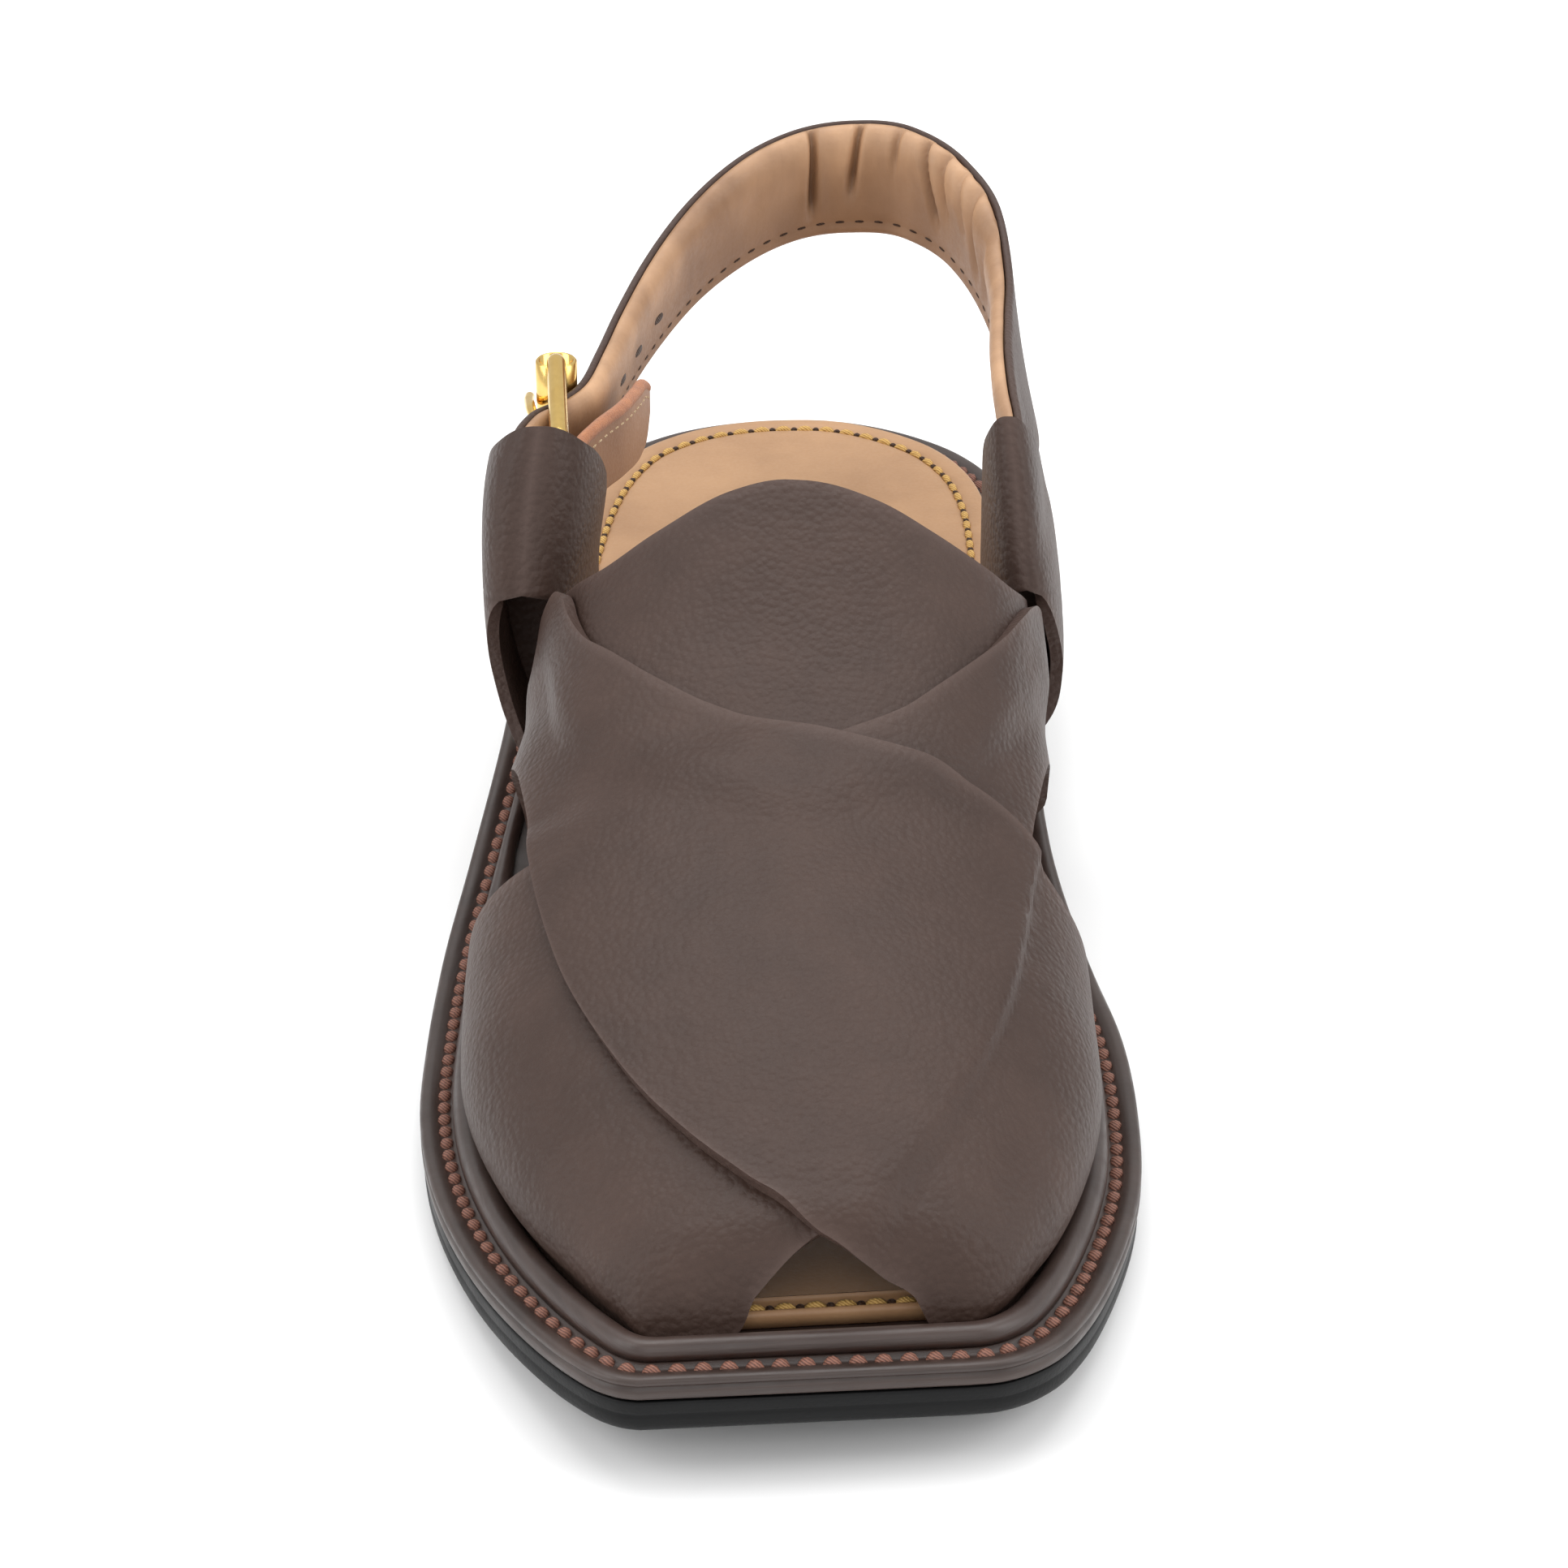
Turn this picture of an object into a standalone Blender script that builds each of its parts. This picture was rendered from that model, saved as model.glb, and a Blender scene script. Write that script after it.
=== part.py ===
"""Peshawari chappal, right shoe: a leather sandal of two crossed straps and a back strap.

The toe points along -Y, the heel along +Y, and +X is the medial side. The heel block and
the forefoot stand on the plane z = 0, and the origin is under the middle of the shoe.
"""

import math

import bmesh
import bpy
import numpy as np

# Main sizes of the last and the sole, in metres
SOLE_LENGTH = 0.293
BALL_WIDTH = 0.106
INSTEP_HEIGHT = 0.065
HEEL_LIFT = 0.017
TOE_SPRING = 0.0085

# Layers of the sole
OUTSOLE_THICKNESS = 0.005
MIDSOLE_THICKNESS = 0.0035
INSOLE_THICKNESS = 0.0025
GAP = 0.0003

# Leather of the upper and the ledge that it stands behind
LEATHER = 0.0022
SEAT_STEP = 0.0005
WELT_LEDGE = 0.0048
RAND_WIDTH = 0.0042
RAND_HEIGHT = 0.0026
HEEL_BORDER = 0.0062

# Ears, back strap and buckle
LATERAL_EAR_HEIGHT = 0.0615
MEDIAL_EAR_HEIGHT = 0.0632
EAR_TOP_DROP = 0.013
EAR_LEATHER = 0.0020
STRAP_TOP = 0.0908
STRAP_HEIGHT = 0.021
STRAP_THICKNESS = 0.0046
FLAP_THICKNESS = 0.0018
FLAP_HEIGHT = 0.0125
WIRE_DIAMETER = 0.0032
ROLLER_DIAMETER = 0.0070
BUCKLE_HEIGHT = 0.0205
ROLLER_LENGTH = 0.0155
BUCKLE_BEND = 0.0021
PRONG_DIAMETER = 0.0018

# Heel block
HEEL_BREAST = 0.29
HEEL_BLOCK_INSET = 0.0006

# How finely the outlines are drawn
STEPS_PER_ROW = 2
NORMAL_REACH = 0.012

# Edge of the welt, from the middle of the heel to the toe.
# Columns: lateral along, lateral out, medial along, medial out.
# "along" is a share of the sole's length from the heel, "out" a share of the ball width.
WELT_EDGE = (
    (0.000, -0.028, 0.000, 0.028),
    (0.003, 0.057, 0.002, 0.104),
    (0.012, 0.137, 0.012, 0.179),
    (0.027, 0.208, 0.030, 0.255),
    (0.056, 0.288, 0.056, 0.324),
    (0.097, 0.342, 0.097, 0.382),
    (0.148, 0.377, 0.148, 0.413),
    (0.227, 0.402, 0.227, 0.423),
    (0.329, 0.417, 0.329, 0.413),
    (0.415, 0.436, 0.415, 0.406),
    (0.500, 0.465, 0.500, 0.418),
    (0.585, 0.492, 0.585, 0.455),
    (0.671, 0.500, 0.671, 0.494),
    (0.746, 0.494, 0.746, 0.500),
    (0.814, 0.462, 0.814, 0.487),
    (0.882, 0.401, 0.882, 0.445),
    (0.937, 0.328, 0.937, 0.392),
    (0.976, 0.260, 0.965, 0.347),
    (0.994, 0.213, 0.981, 0.292),
    (1.000, 0.170, 0.986, 0.236),
)

# Where the sole leaves the ground. Columns: along, toe spring, heel lift.
SOLE_LINE = (
    (0.00, 0.000, 1.000),
    (0.24, 0.000, 1.000),
    (0.29, 0.000, 0.965),
    (0.35, 0.000, 0.850),
    (0.42, 0.000, 0.615),
    (0.49, 0.000, 0.330),
    (0.56, 0.000, 0.095),
    (0.62, 0.000, 0.000),
    (0.68, 0.000, 0.000),
    (0.76, 0.070, 0.000),
    (0.84, 0.260, 0.000),
    (0.92, 0.560, 0.000),
    (1.00, 1.000, 0.000),
)

# What lies inside the welt edge. Columns: along, rand (share of its full width),
# slack (share of an ear's thickness left free), seat (share of the plain heel border).
BORDER = (
    (0.00, 0.00, 0.00, 1.00),
    (0.30, 0.00, 0.00, 1.00),
    (0.37, 0.57, 1.20, 0.00),
    (0.50, 0.57, 1.20, 0.00),
    (0.58, 1.00, 0.18, 0.00),
    (0.88, 1.00, 0.18, 0.00),
    (0.94, 1.00, 0.35, 0.00),
    (1.00, 1.00, 0.35, 0.00),
)

# Inside of the vamp over the midsole. Columns: along, ridge height (share of the instep
# height), ridge place (share of the way across), lateral belly, medial belly (shares of the
# ball width), lateral squareness, medial squareness.
LAST = (
    (0.300, 1.310, 0.57, -0.012, 0.064, 2.0, 2.6),
    (0.415, 1.150, 0.57, -0.010, 0.070, 2.0, 2.6),
    (0.459, 1.060, 0.57, -0.008, 0.072, 2.0, 2.6),
    (0.500, 0.966, 0.57, -0.008, 0.071, 2.0, 2.6),
    (0.551, 0.862, 0.56, 0.000, 0.056, 2.0, 2.5),
    (0.602, 0.762, 0.55, 0.012, 0.039, 2.1, 2.4),
    (0.650, 0.670, 0.53, 0.022, 0.026, 2.2, 2.3),
    (0.695, 0.608, 0.52, 0.024, 0.021, 2.2, 2.2),
    (0.739, 0.550, 0.52, 0.026, 0.021, 2.2, 2.2),
    (0.790, 0.477, 0.52, 0.034, 0.026, 2.2, 2.2),
    (0.841, 0.392, 0.53, 0.030, 0.024, 2.2, 2.2),
    (0.889, 0.300, 0.54, 0.020, 0.018, 2.3, 2.3),
    (0.920, 0.235, 0.55, 0.008, 0.008, 2.4, 2.4),
    (0.938, 0.185, 0.55, 0.004, 0.004, 2.5, 2.5),
    (0.948, 0.120, 0.55, 0.001, 0.001, 2.6, 2.6),
    (0.954, 0.045, 0.55, 0.000, 0.000, 2.6, 2.6),
)
BELLY_HEIGHT = 0.30
BELLY_SHARE = 0.12


# The two wide straps and the tongue on the last. Columns: across (share of the girth from the
# lateral foot), rear edge along, front edge along.
TOP_STRAP = (
    (0.00, 0.445, 0.520),
    (0.08, 0.450, 0.530),
    (0.15, 0.458, 0.550),
    (0.20, 0.472, 0.575),
    (0.25, 0.492, 0.615),
    (0.28, 0.522, 0.660),
    (0.31, 0.548, 0.745),
    (0.35, 0.573, 0.837),
    (0.40, 0.602, 0.892),
    (0.45, 0.625, 0.921),
    (0.50, 0.640, 0.940),
    (0.55, 0.648, 0.947),
    (0.61, 0.653, 0.950),
    (0.66, 0.659, 0.952),
    (0.70, 0.667, 0.953),
    (0.76, 0.685, 0.954),
    (0.85, 0.690, 0.954),
    (1.00, 0.680, 0.954),
)
LOWER_STRAP = (
    (0.00, 0.660, 0.954),
    (0.10, 0.672, 0.954),
    (0.20, 0.680, 0.953),
    (0.28, 0.686, 0.954),
    (0.33, 0.688, 0.954),
    (0.38, 0.686, 0.954),
    (0.42, 0.678, 0.953),
    (0.45, 0.669, 0.948),
    (0.49, 0.655, 0.939),
    (0.54, 0.637, 0.925),
    (0.58, 0.621, 0.905),
    (0.62, 0.598, 0.873),
    (0.66, 0.574, 0.820),
    (0.70, 0.549, 0.735),
    (0.73, 0.528, 0.660),
    (0.76, 0.508, 0.615),
    (0.79, 0.490, 0.585),
    (0.84, 0.466, 0.555),
    (0.91, 0.453, 0.532),
    (1.00, 0.445, 0.520),
)
TONGUE = (
    (0.18, 0.460, 0.505),
    (0.21, 0.468, 0.512),
    (0.25, 0.484, 0.530),
    (0.30, 0.500, 0.580),
    (0.37, 0.505, 0.625),
    (0.44, 0.500, 0.660),
    (0.50, 0.498, 0.680),
    (0.56, 0.505, 0.665),
    (0.62, 0.512, 0.640),
    (0.69, 0.511, 0.590),
    (0.75, 0.500, 0.550),
    (0.79, 0.484, 0.520),
    (0.83, 0.462, 0.505),
)
LAP_FADE = 0.035
FOOT_SHARE = 0.14
TOE_CROWDING = 1.6

# Ears. Columns: up (share of the ear's height), front and rear (shares of the sole's length,
# ahead of the middle negative), out (bulge over its foot) and spread (outer face to inner
# face), both shares of the ball width.
LATERAL_EAR = (
    (0.00, 0.010, 0.100, 0.000, 0.078),
    (0.05, 0.010, 0.101, 0.004, 0.082),
    (0.11, 0.011, 0.103, 0.026, 0.108),
    (0.20, 0.013, 0.106, 0.048, 0.132),
    (0.33, 0.016, 0.110, 0.066, 0.148),
    (0.50, 0.022, 0.118, 0.080, 0.159),
    (0.62, 0.029, 0.125, 0.086, 0.172),
    (0.70, 0.035, 0.130, 0.088, 0.180),
    (0.78, 0.043, 0.134, 0.087, 0.180),
    (0.88, 0.055, 0.137, 0.077, 0.166),
    (1.00, 0.072, 0.140, 0.052, 0.128),
)
MEDIAL_EAR = (
    (0.00, 0.010, 0.100, 0.000, 0.080),
    (0.05, 0.010, 0.101, 0.005, 0.086),
    (0.11, 0.011, 0.103, 0.046, 0.122),
    (0.20, 0.013, 0.106, 0.088, 0.136),
    (0.33, 0.016, 0.110, 0.104, 0.129),
    (0.50, 0.022, 0.118, 0.097, 0.119),
    (0.62, 0.029, 0.125, 0.085, 0.107),
    (0.70, 0.035, 0.130, 0.073, 0.095),
    (0.78, 0.043, 0.134, 0.067, 0.090),
    (0.88, 0.055, 0.137, 0.058, 0.082),
    (1.00, 0.072, 0.140, 0.040, 0.064),
)
SLIT_TOP = 0.62
SLIT_BEND = 0.20
EAR_FOLD = 0.70
LIP_SHARE = 0.34

# Back strap, from inside the medial ear round the heel into the lateral ear. Columns: out
# (share of the ball width), back (share of the sole's length), top edge (share of the
# strap's highest point), height and thickness (shares of the strap's own), lean of the lower
# edge into the shoe (share of the strap's height).
BACK_STRAP = (
    (0.376, 0.090, 0.742, 0.76, 0.66, 0.02),
    (0.377, 0.118, 0.766, 0.80, 0.68, 0.03),
    (0.382, 0.143, 0.785, 0.84, 0.76, 0.08),
    (0.399, 0.171, 0.805, 0.87, 0.88, 0.14),
    (0.416, 0.205, 0.826, 0.90, 0.93, 0.16),
    (0.419, 0.256, 0.838, 0.95, 0.98, 0.12),
    (0.406, 0.307, 0.859, 0.98, 1.00, 0.06),
    (0.371, 0.362, 0.925, 1.00, 1.00, 0.00),
    (0.321, 0.406, 0.969, 1.00, 1.00, 0.00),
    (0.236, 0.438, 1.000, 1.00, 1.00, 0.00),
    (0.123, 0.452, 1.000, 1.00, 1.00, 0.00),
    (0.019, 0.447, 0.983, 0.98, 1.00, 0.00),
    (-0.085, 0.423, 0.944, 0.95, 0.98, 0.00),
    (-0.170, 0.386, 0.887, 0.88, 0.96, 0.00),
    (-0.226, 0.345, 0.837, 0.81, 0.93, 0.00),
    (-0.269, 0.297, 0.793, 0.72, 0.91, 0.00),
    (-0.295, 0.253, 0.771, 0.67, 0.87, 0.00),
    (-0.318, 0.212, 0.762, 0.67, 0.83, 0.00),
    (-0.354, 0.178, 0.771, 0.67, 0.78, 0.00),
    (-0.393, 0.155, 0.774, 0.67, 0.74, 0.00),
    (-0.410, 0.130, 0.771, 0.67, 0.68, 0.00),
    (-0.412, 0.098, 0.742, 0.64, 0.62, 0.00),
)

# Buckle. Its bars stand beside the back strap: the rear one outside and the front one inside,
# at these shares of the sole's length behind the middle, with the top of the frame over the
# strap's top edge by the rise.
BUCKLE_REAR_BACK = 0.212
BUCKLE_FRONT_BACK = 0.132
BUCKLE_RISE = 0.0060
FRONT_BAR_INSET = 0.0062
FRONT_BAR_DROP = 0.0040
# The prong's path. Columns: way from the front bar to the rear one, and out from the front
# bar's line to the outside of the roller, both as shares, and drop below the frame's top.
PRONG = (
    (0.12, 0.00, 0.0110),
    (0.26, 0.10, 0.0102),
    (0.50, 0.42, 0.0092),
    (0.72, 0.88, 0.0082),
    (0.96, 1.00, 0.0076),
    (1.14, 0.98, 0.0076),
)

# Flap behind the buckle, from its round tip into the lateral ear. Columns: out (share of the
# ball width), back (share of the sole's length), top edge (share of the strap's highest
# point), height (share of the flap's own).
BUCKLE_FLAP = (
    (-0.224, 0.252, 0.700, 0.40),
    (-0.228, 0.244, 0.716, 0.78),
    (-0.236, 0.225, 0.728, 0.98),
    (-0.256, 0.190, 0.744, 1.00),
    (-0.290, 0.155, 0.756, 1.00),
    (-0.317, 0.125, 0.756, 1.00),
    (-0.321, 0.098, 0.744, 0.90),
)


def smooth(at, stations, values):
    """Cubic curve through a table's rows, each row's slope set by its two neighbours."""
    stations = np.asarray(stations, float)
    values = np.asarray(values, float).reshape(len(stations), -1)
    step = np.diff(stations)[:, None]
    rate = np.diff(values, axis=0) / step
    inner = (rate[:-1] * step[1:] + rate[1:] * step[:-1]) / (step[1:] + step[:-1])
    slope = np.vstack((rate[:1], inner, rate[-1:]))
    at = np.clip(np.atleast_1d(at), stations[0], stations[-1])
    row = np.clip(np.searchsorted(stations, at, side="right") - 1, 0, len(step) - 1)
    part = ((at - stations[row]) / step[row, 0])[:, None]
    turn = part * part * (3.0 - 2.0 * part)
    lean = part * (1.0 - part) * step[row]
    bend = (1.0 - part) * slope[row] - part * slope[row + 1]
    return values[row] * (1.0 - turn) + values[row + 1] * turn + lean * bend


def column(table, index):
    return [row[index] for row in table]


def to_y(along):
    return SOLE_LENGTH * (0.5 - np.asarray(along))


def to_along(y):
    return 0.5 - np.asarray(y) / SOLE_LENGTH


def read_line(table, index, along):
    """One column of a table by place along the shoe, straight between its rows."""
    return np.interp(along, column(table, 0), column(table, index))


class Outline:
    """The welt edge as a closed curve, and the same curve moved inwards."""

    def __init__(self):
        lateral = [(-row[1] * BALL_WIDTH, to_y(row[0])) for row in WELT_EDGE]
        medial = [(row[3] * BALL_WIDTH, to_y(row[2])) for row in WELT_EDGE]
        loop = np.array(lateral + medial[:0:-1])
        self.rows = len(WELT_EDGE)
        closed = np.vstack((loop[-3:], loop, loop[:4]))
        chord = np.sqrt(np.linalg.norm(np.diff(closed, axis=0), axis=1))
        place = np.concatenate(([0.0], np.cumsum(chord)))
        self.place = place - place[3]
        self.knots = closed
        dense = np.linspace(self.place[0], self.place[-1], 3000)
        self.dense = smooth(dense, self.place, closed)
        self.dense_place = dense
        length = np.linalg.norm(np.diff(self.dense, axis=0), axis=1)
        self.arc = np.concatenate(([0.0], np.cumsum(length)))

    def point(self, arc):
        x = np.interp(arc, self.arc, self.dense[:, 0])
        y = np.interp(arc, self.arc, self.dense[:, 1])
        return np.stack((x, y), axis=-1)

    def inward(self, arc):
        """Direction into the shoe, averaged over a short stretch so that corners stay open."""
        ahead = self.point(arc + NORMAL_REACH) - self.point(arc - NORMAL_REACH)
        ahead /= np.linalg.norm(ahead, axis=-1, keepdims=True)
        return np.stack((-ahead[..., 1], ahead[..., 0]), axis=-1)

    def sides(self, steps):
        """Arc lengths of both sides at matching places from the heel to the toe."""
        share = np.arange((self.rows - 1) * steps + 1) / steps
        knot = np.arange(len(self.place)) - 3
        lateral = np.interp(share, knot, self.place)
        medial = np.interp(len(self.knots) - 7 - share, knot, self.place)
        to_arc = lambda place: np.interp(place, self.dense_place, self.arc)
        return to_arc(lateral), to_arc(medial)

    def edges(self, inset, steps=STEPS_PER_ROW):
        """Both sides, moved inwards by inset, which may vary with the place along."""
        found = []
        for arc in self.sides(steps):
            edge = self.point(arc)
            depth = inset(to_along(edge[:, 1])) if callable(inset) else inset
            found.append(edge + self.inward(arc) * np.reshape(depth, (-1, 1)))
        return found


OUTLINE = Outline()


def ground_line(y):
    """Height of the outsole's underside."""
    along = to_along(y)
    stations = column(SOLE_LINE, 0)
    shares = [row[1:] for row in SOLE_LINE]
    spring, lift = smooth(np.ravel(along), stations, shares).T
    height = np.maximum(spring, 0.0) * TOE_SPRING + np.clip(lift, 0.0, 1.0) * HEEL_LIFT
    return height.reshape(np.shape(along))


def midsole_bottom(y):
    return ground_line(y) + OUTSOLE_THICKNESS + GAP


def midsole_top(y):
    return midsole_bottom(y) + MIDSOLE_THICKNESS


def insole_bottom(y):
    return midsole_top(y) + GAP


def insole_top(y):
    return insole_bottom(y) + INSOLE_THICKNESS


def rand_inner_inset(along):
    return WELT_LEDGE + RAND_WIDTH * read_line(BORDER, 1, along)


def ear_inset(along):
    """Outer face of an ear's foot, just inside the rand."""
    return rand_inner_inset(along) + GAP


def wall_inset(along):
    """Outer face of the upper where it meets the midsole."""
    room = (EAR_LEATHER + 2 * GAP) * read_line(BORDER, 2, along)
    return rand_inner_inset(along) + GAP + room


def last_inset(along):
    return wall_inset(along) + LEATHER


def insole_inset(along):
    seat = read_line(BORDER, 3, along)
    return (last_inset(along) + 3 * GAP) * (1.0 - seat) + HEEL_BORDER * seat


class Last:
    """Inside of the vamp: upright sections that stand on rungs across the midsole."""

    def __init__(self):
        lateral, medial = OUTLINE.edges(last_inset, steps=4)
        middle = to_along((lateral[:, 1] + medial[:, 1]) / 2)
        self.rungs = middle
        self.lateral = lateral
        self.medial = medial
        self.stretch = middle[-1] / LAST[-1][0]

    def foot(self, side, along):
        x = np.interp(along, self.rungs, side[:, 0])
        y = np.interp(along, self.rungs, side[:, 1])
        return np.stack((x, y), axis=-1)

    def surface(self, across, along):
        """Point at a share of the girth, 0 lateral to 1 medial, on the section at along."""
        across, along = np.broadcast_arrays(np.asarray(across, float), along)
        shape = across.shape
        u, s = across.ravel(), along.ravel()
        stations = column(LAST, 0)
        height, ridge, *sides = smooth(s, stations, [row[1:] for row in LAST]).T
        height = height * INSTEP_HEIGHT
        start = self.foot(self.lateral, s * self.stretch)
        rung = self.foot(self.medial, s * self.stretch) - start
        width = np.linalg.norm(rung, axis=1)
        is_medial = u > 0.5
        near = np.where(is_medial, 1.0 - u, u) * 2.0
        belly = np.where(is_medial, sides[1], sides[0]) * BALL_WIDTH / width
        square = np.where(is_medial, sides[3], sides[2])
        reach = np.where(is_medial, 1.0 - ridge, ridge) + belly
        low = np.clip(near / (2 * BELLY_SHARE), 0.0, 1.0)
        turn = np.clip((near - 2 * BELLY_SHARE) / (1 - 2 * BELLY_SHARE), 0.0, 1.0) * math.pi / 2
        tuck = belly * (1 - low ** 3 * (4 - 3 * low))
        out = reach * np.cos(turn) ** (2 / square) - tuck
        rise = BELLY_HEIGHT * low + (1 - BELLY_HEIGHT) * np.sin(turn) ** (2 / square)
        place = np.where(is_medial, ridge + out, ridge - out)
        plan = start + rung * place[:, None]
        base = midsole_top(plan[:, 1]) + GAP
        return np.column_stack((plan, base + height * rise)).reshape(*shape, 3)

    def normal(self, across, along):
        """Outward direction, from small steps over the surface."""
        step = 0.004
        u0, u1 = np.clip(across - step, 0, 1), np.clip(across + step, 0, 1)
        s0, s1 = along - step, np.minimum(along + step, LAST[-1][0])
        over = self.surface(u1, along) - self.surface(u0, along)
        ahead = self.surface(across, s1) - self.surface(across, s0)
        out = np.cross(ahead, over)
        return out / np.linalg.norm(out, axis=-1, keepdims=True)


def make_material(name, colour, roughness, metallic=0.0):
    material = bpy.data.materials.new(name)
    material.use_nodes = True
    shader = material.node_tree.nodes["Principled BSDF"]
    shader.inputs["Base Color"].default_value = (*colour, 1.0)
    shader.inputs["Roughness"].default_value = roughness
    shader.inputs["Metallic"].default_value = metallic
    return material


def new_collection(name):
    collection = bpy.data.collections.new(name)
    bpy.context.scene.collection.children.link(collection)
    return collection


def add_object(name, mesh, collection, material):
    mesh.materials.append(material)
    mesh.shade_smooth()
    mesh.set_sharp_from_angle(angle=math.radians(35.0))
    piece = bpy.data.objects.new(name, mesh)
    collection.objects.link(piece)
    return piece


def mesh_from(name, points, faces):
    mesh = bpy.data.meshes.new(name)
    mesh.from_pydata([tuple(point) for point in points], [], faces)
    shape = bmesh.new()
    shape.from_mesh(mesh)
    bmesh.ops.remove_doubles(shape, verts=shape.verts, dist=1e-6)
    bmesh.ops.recalc_face_normals(shape, faces=shape.faces)
    shape.to_mesh(mesh)
    shape.free()
    return mesh


def ring(inset, height):
    """A loop round the shoe: up the lateral side to the toe, and back down the medial side."""
    lateral, medial = OUTLINE.edges(inset)
    loop = np.vstack((lateral, medial[:0:-1]))
    return np.column_stack((loop, height(loop[:, 1])))


def layer_mesh(name, rings):
    """A solid between loops of equal length, its first and last loop closed by rungs."""
    count = len(rings[0])
    points = np.vstack(rings)
    faces = []
    for level in range(len(rings) - 1):
        low, high = level * count, (level + 1) * count
        for i in range(count):
            j = (i + 1) % count
            faces.append((low + i, low + j, high + j, high + i))
    for start in (0, (len(rings) - 1) * count):
        faces.append((start, start + 1, start + count - 1))
        for i in range(1, count // 2):
            faces.append((start + i, start + i + 1, start + count - i - 1, start + count - i))
    return mesh_from(name, points, faces)


def sweep_mesh(name, sections):
    """A bar through closed sections of equal size, with flat ends."""
    count = len(sections[0])
    points = np.vstack(sections)
    faces = [tuple(range(count)), tuple(range(len(points) - count, len(points)))]
    for level in range(len(sections) - 1):
        low, high = level * count, (level + 1) * count
        for i in range(count):
            j = (i + 1) % count
            faces.append((low + i, low + j, high + j, high + i))
    return mesh_from(name, points, faces)


def build_outsole(collection, material):
    bevel, step = 0.0012, 0.0003

    def under(y):
        return ground_line(y)

    rings = [
        ring(bevel, under),
        ring(step, lambda y: under(y) + bevel),
        ring(step, lambda y: under(y) + OUTSOLE_THICKNESS),
    ]
    add_object("outsole", layer_mesh("outsole", rings), collection, material)


def build_midsole(collection, material):
    bevel = 0.0007
    rings = [
        ring(bevel, midsole_bottom),
        ring(0.0, lambda y: midsole_bottom(y) + bevel),
        ring(0.0, lambda y: midsole_top(y) - bevel),
        ring(bevel, midsole_top),
    ]
    add_object("midsole", layer_mesh("midsole", rings), collection, material)


def build_insole(collection, material):
    bevel = 0.0006
    rings = [
        ring(insole_inset, insole_bottom),
        ring(insole_inset, lambda y: insole_top(y) - bevel),
        ring(lambda along: insole_inset(along) + bevel, insole_top),
    ]
    add_object("insole", layer_mesh("insole", rings), collection, material)


def build_rand(collection, material):
    """The raised leather rim, from ear to ear round the toe."""
    profile = ((0, 0), (0, 0.5), (0.2, 0.88), (0.5, 1), (0.8, 0.85), (1, 0.4), (1, 0))
    lines = []
    for across, up in profile:
        def inset(along, across=across):
            return WELT_LEDGE + (rand_inner_inset(along) - WELT_LEDGE) * across

        lateral, medial = OUTLINE.edges(inset)
        loop = np.vstack((lateral, medial[::-1]))
        height = midsole_top(loop[:, 1]) + GAP + RAND_HEIGHT * up
        lines.append(np.column_stack((loop, height)))
    lines = np.array(lines)
    kept = to_along(lines[0, :, 1]) > 0.372
    sections = [lines[:, i] for i in range(lines.shape[1]) if kept[i]]
    add_object("rand", sweep_mesh("rand", sections), collection, material)


def spread_rows(values, steps):
    """The values with more between them, evenly, by row."""
    rows = np.arange(len(values))
    return np.interp(np.arange((len(values) - 1) * steps + 1) / steps, rows, values)


def covered(table, across, along):
    """1 where a strap lies underneath, fading to 0 over a short stretch past its edges."""
    stations = column(table, 0)
    rear, front = smooth(np.ravel(across), stations, [row[1:] for row in table]).T
    inside = np.minimum(np.ravel(along) - rear, front - np.ravel(along))
    end = np.minimum(np.ravel(across) - stations[0], stations[-1] - np.ravel(across))
    part = np.clip(1 + inside / LAP_FADE, 0, 1) * np.clip(1 + end / LAP_FADE, 0, 1)
    return (part * part * (3 - 2 * part)).reshape(np.shape(across))


def strap_mesh(name, last, table, under, steps_across, steps_along):
    """A leather strap on the last, lifted over the straps that lie under it.

    Each further strap starts a little higher inside the ones below, except at its feet.
    """
    across = spread_rows(column(table, 0), steps_across)
    edges = smooth(across, column(table, 0), [row[1:] for row in table])
    share = 1 - (1 - np.linspace(0, 1, steps_along + 1)) ** TOE_CROWDING
    along = edges[:, :1] + (edges[:, 1:] - edges[:, :1]) * share
    across = np.broadcast_to(across[:, None], along.shape)
    lift = sum((covered(lower, across, along) for lower in under), np.zeros(along.shape))
    foot = np.clip(np.minimum(across, 1 - across) / FOOT_SHARE, 0, 1)
    seat = SEAT_STEP * len(under) * foot * foot * (3 - 2 * foot)
    thickness = LEATHER + lift * (LEATHER - SEAT_STEP)
    out = last.normal(across, along)
    inner = last.surface(across, along) + out * seat[..., None]
    outer = inner + out * thickness[..., None]
    for side in (inner, outer):
        floor = midsole_top(side[..., 1]) + GAP
        side[..., 2] = np.maximum(side[..., 2], floor)
    return sheet_mesh(name, inner, outer)


def sheet_mesh(name, inner, outer):
    """A solid sheet between two grids of points."""
    rows, cols = inner.shape[:2]
    index = np.arange(rows * cols).reshape(rows, cols)
    rim = np.concatenate((index[0, :-1], index[:-1, -1], index[-1, :0:-1], index[:0:-1, 0]))
    faces = []
    for i in range(rows - 1):
        for j in range(cols - 1):
            quad = (index[i, j], index[i, j + 1], index[i + 1, j + 1], index[i + 1, j])
            faces.append(tuple(quad))
            faces.append(tuple(corner + rows * cols for corner in reversed(quad)))
    for first, second in zip(rim, np.roll(rim, -1)):
        faces.append((second, first, first + rows * cols, second + rows * cols))
    points = np.vstack((inner.reshape(-1, 3), outer.reshape(-1, 3)))
    return mesh_from(name, points, [tuple(int(i) for i in face) for face in faces])


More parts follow.
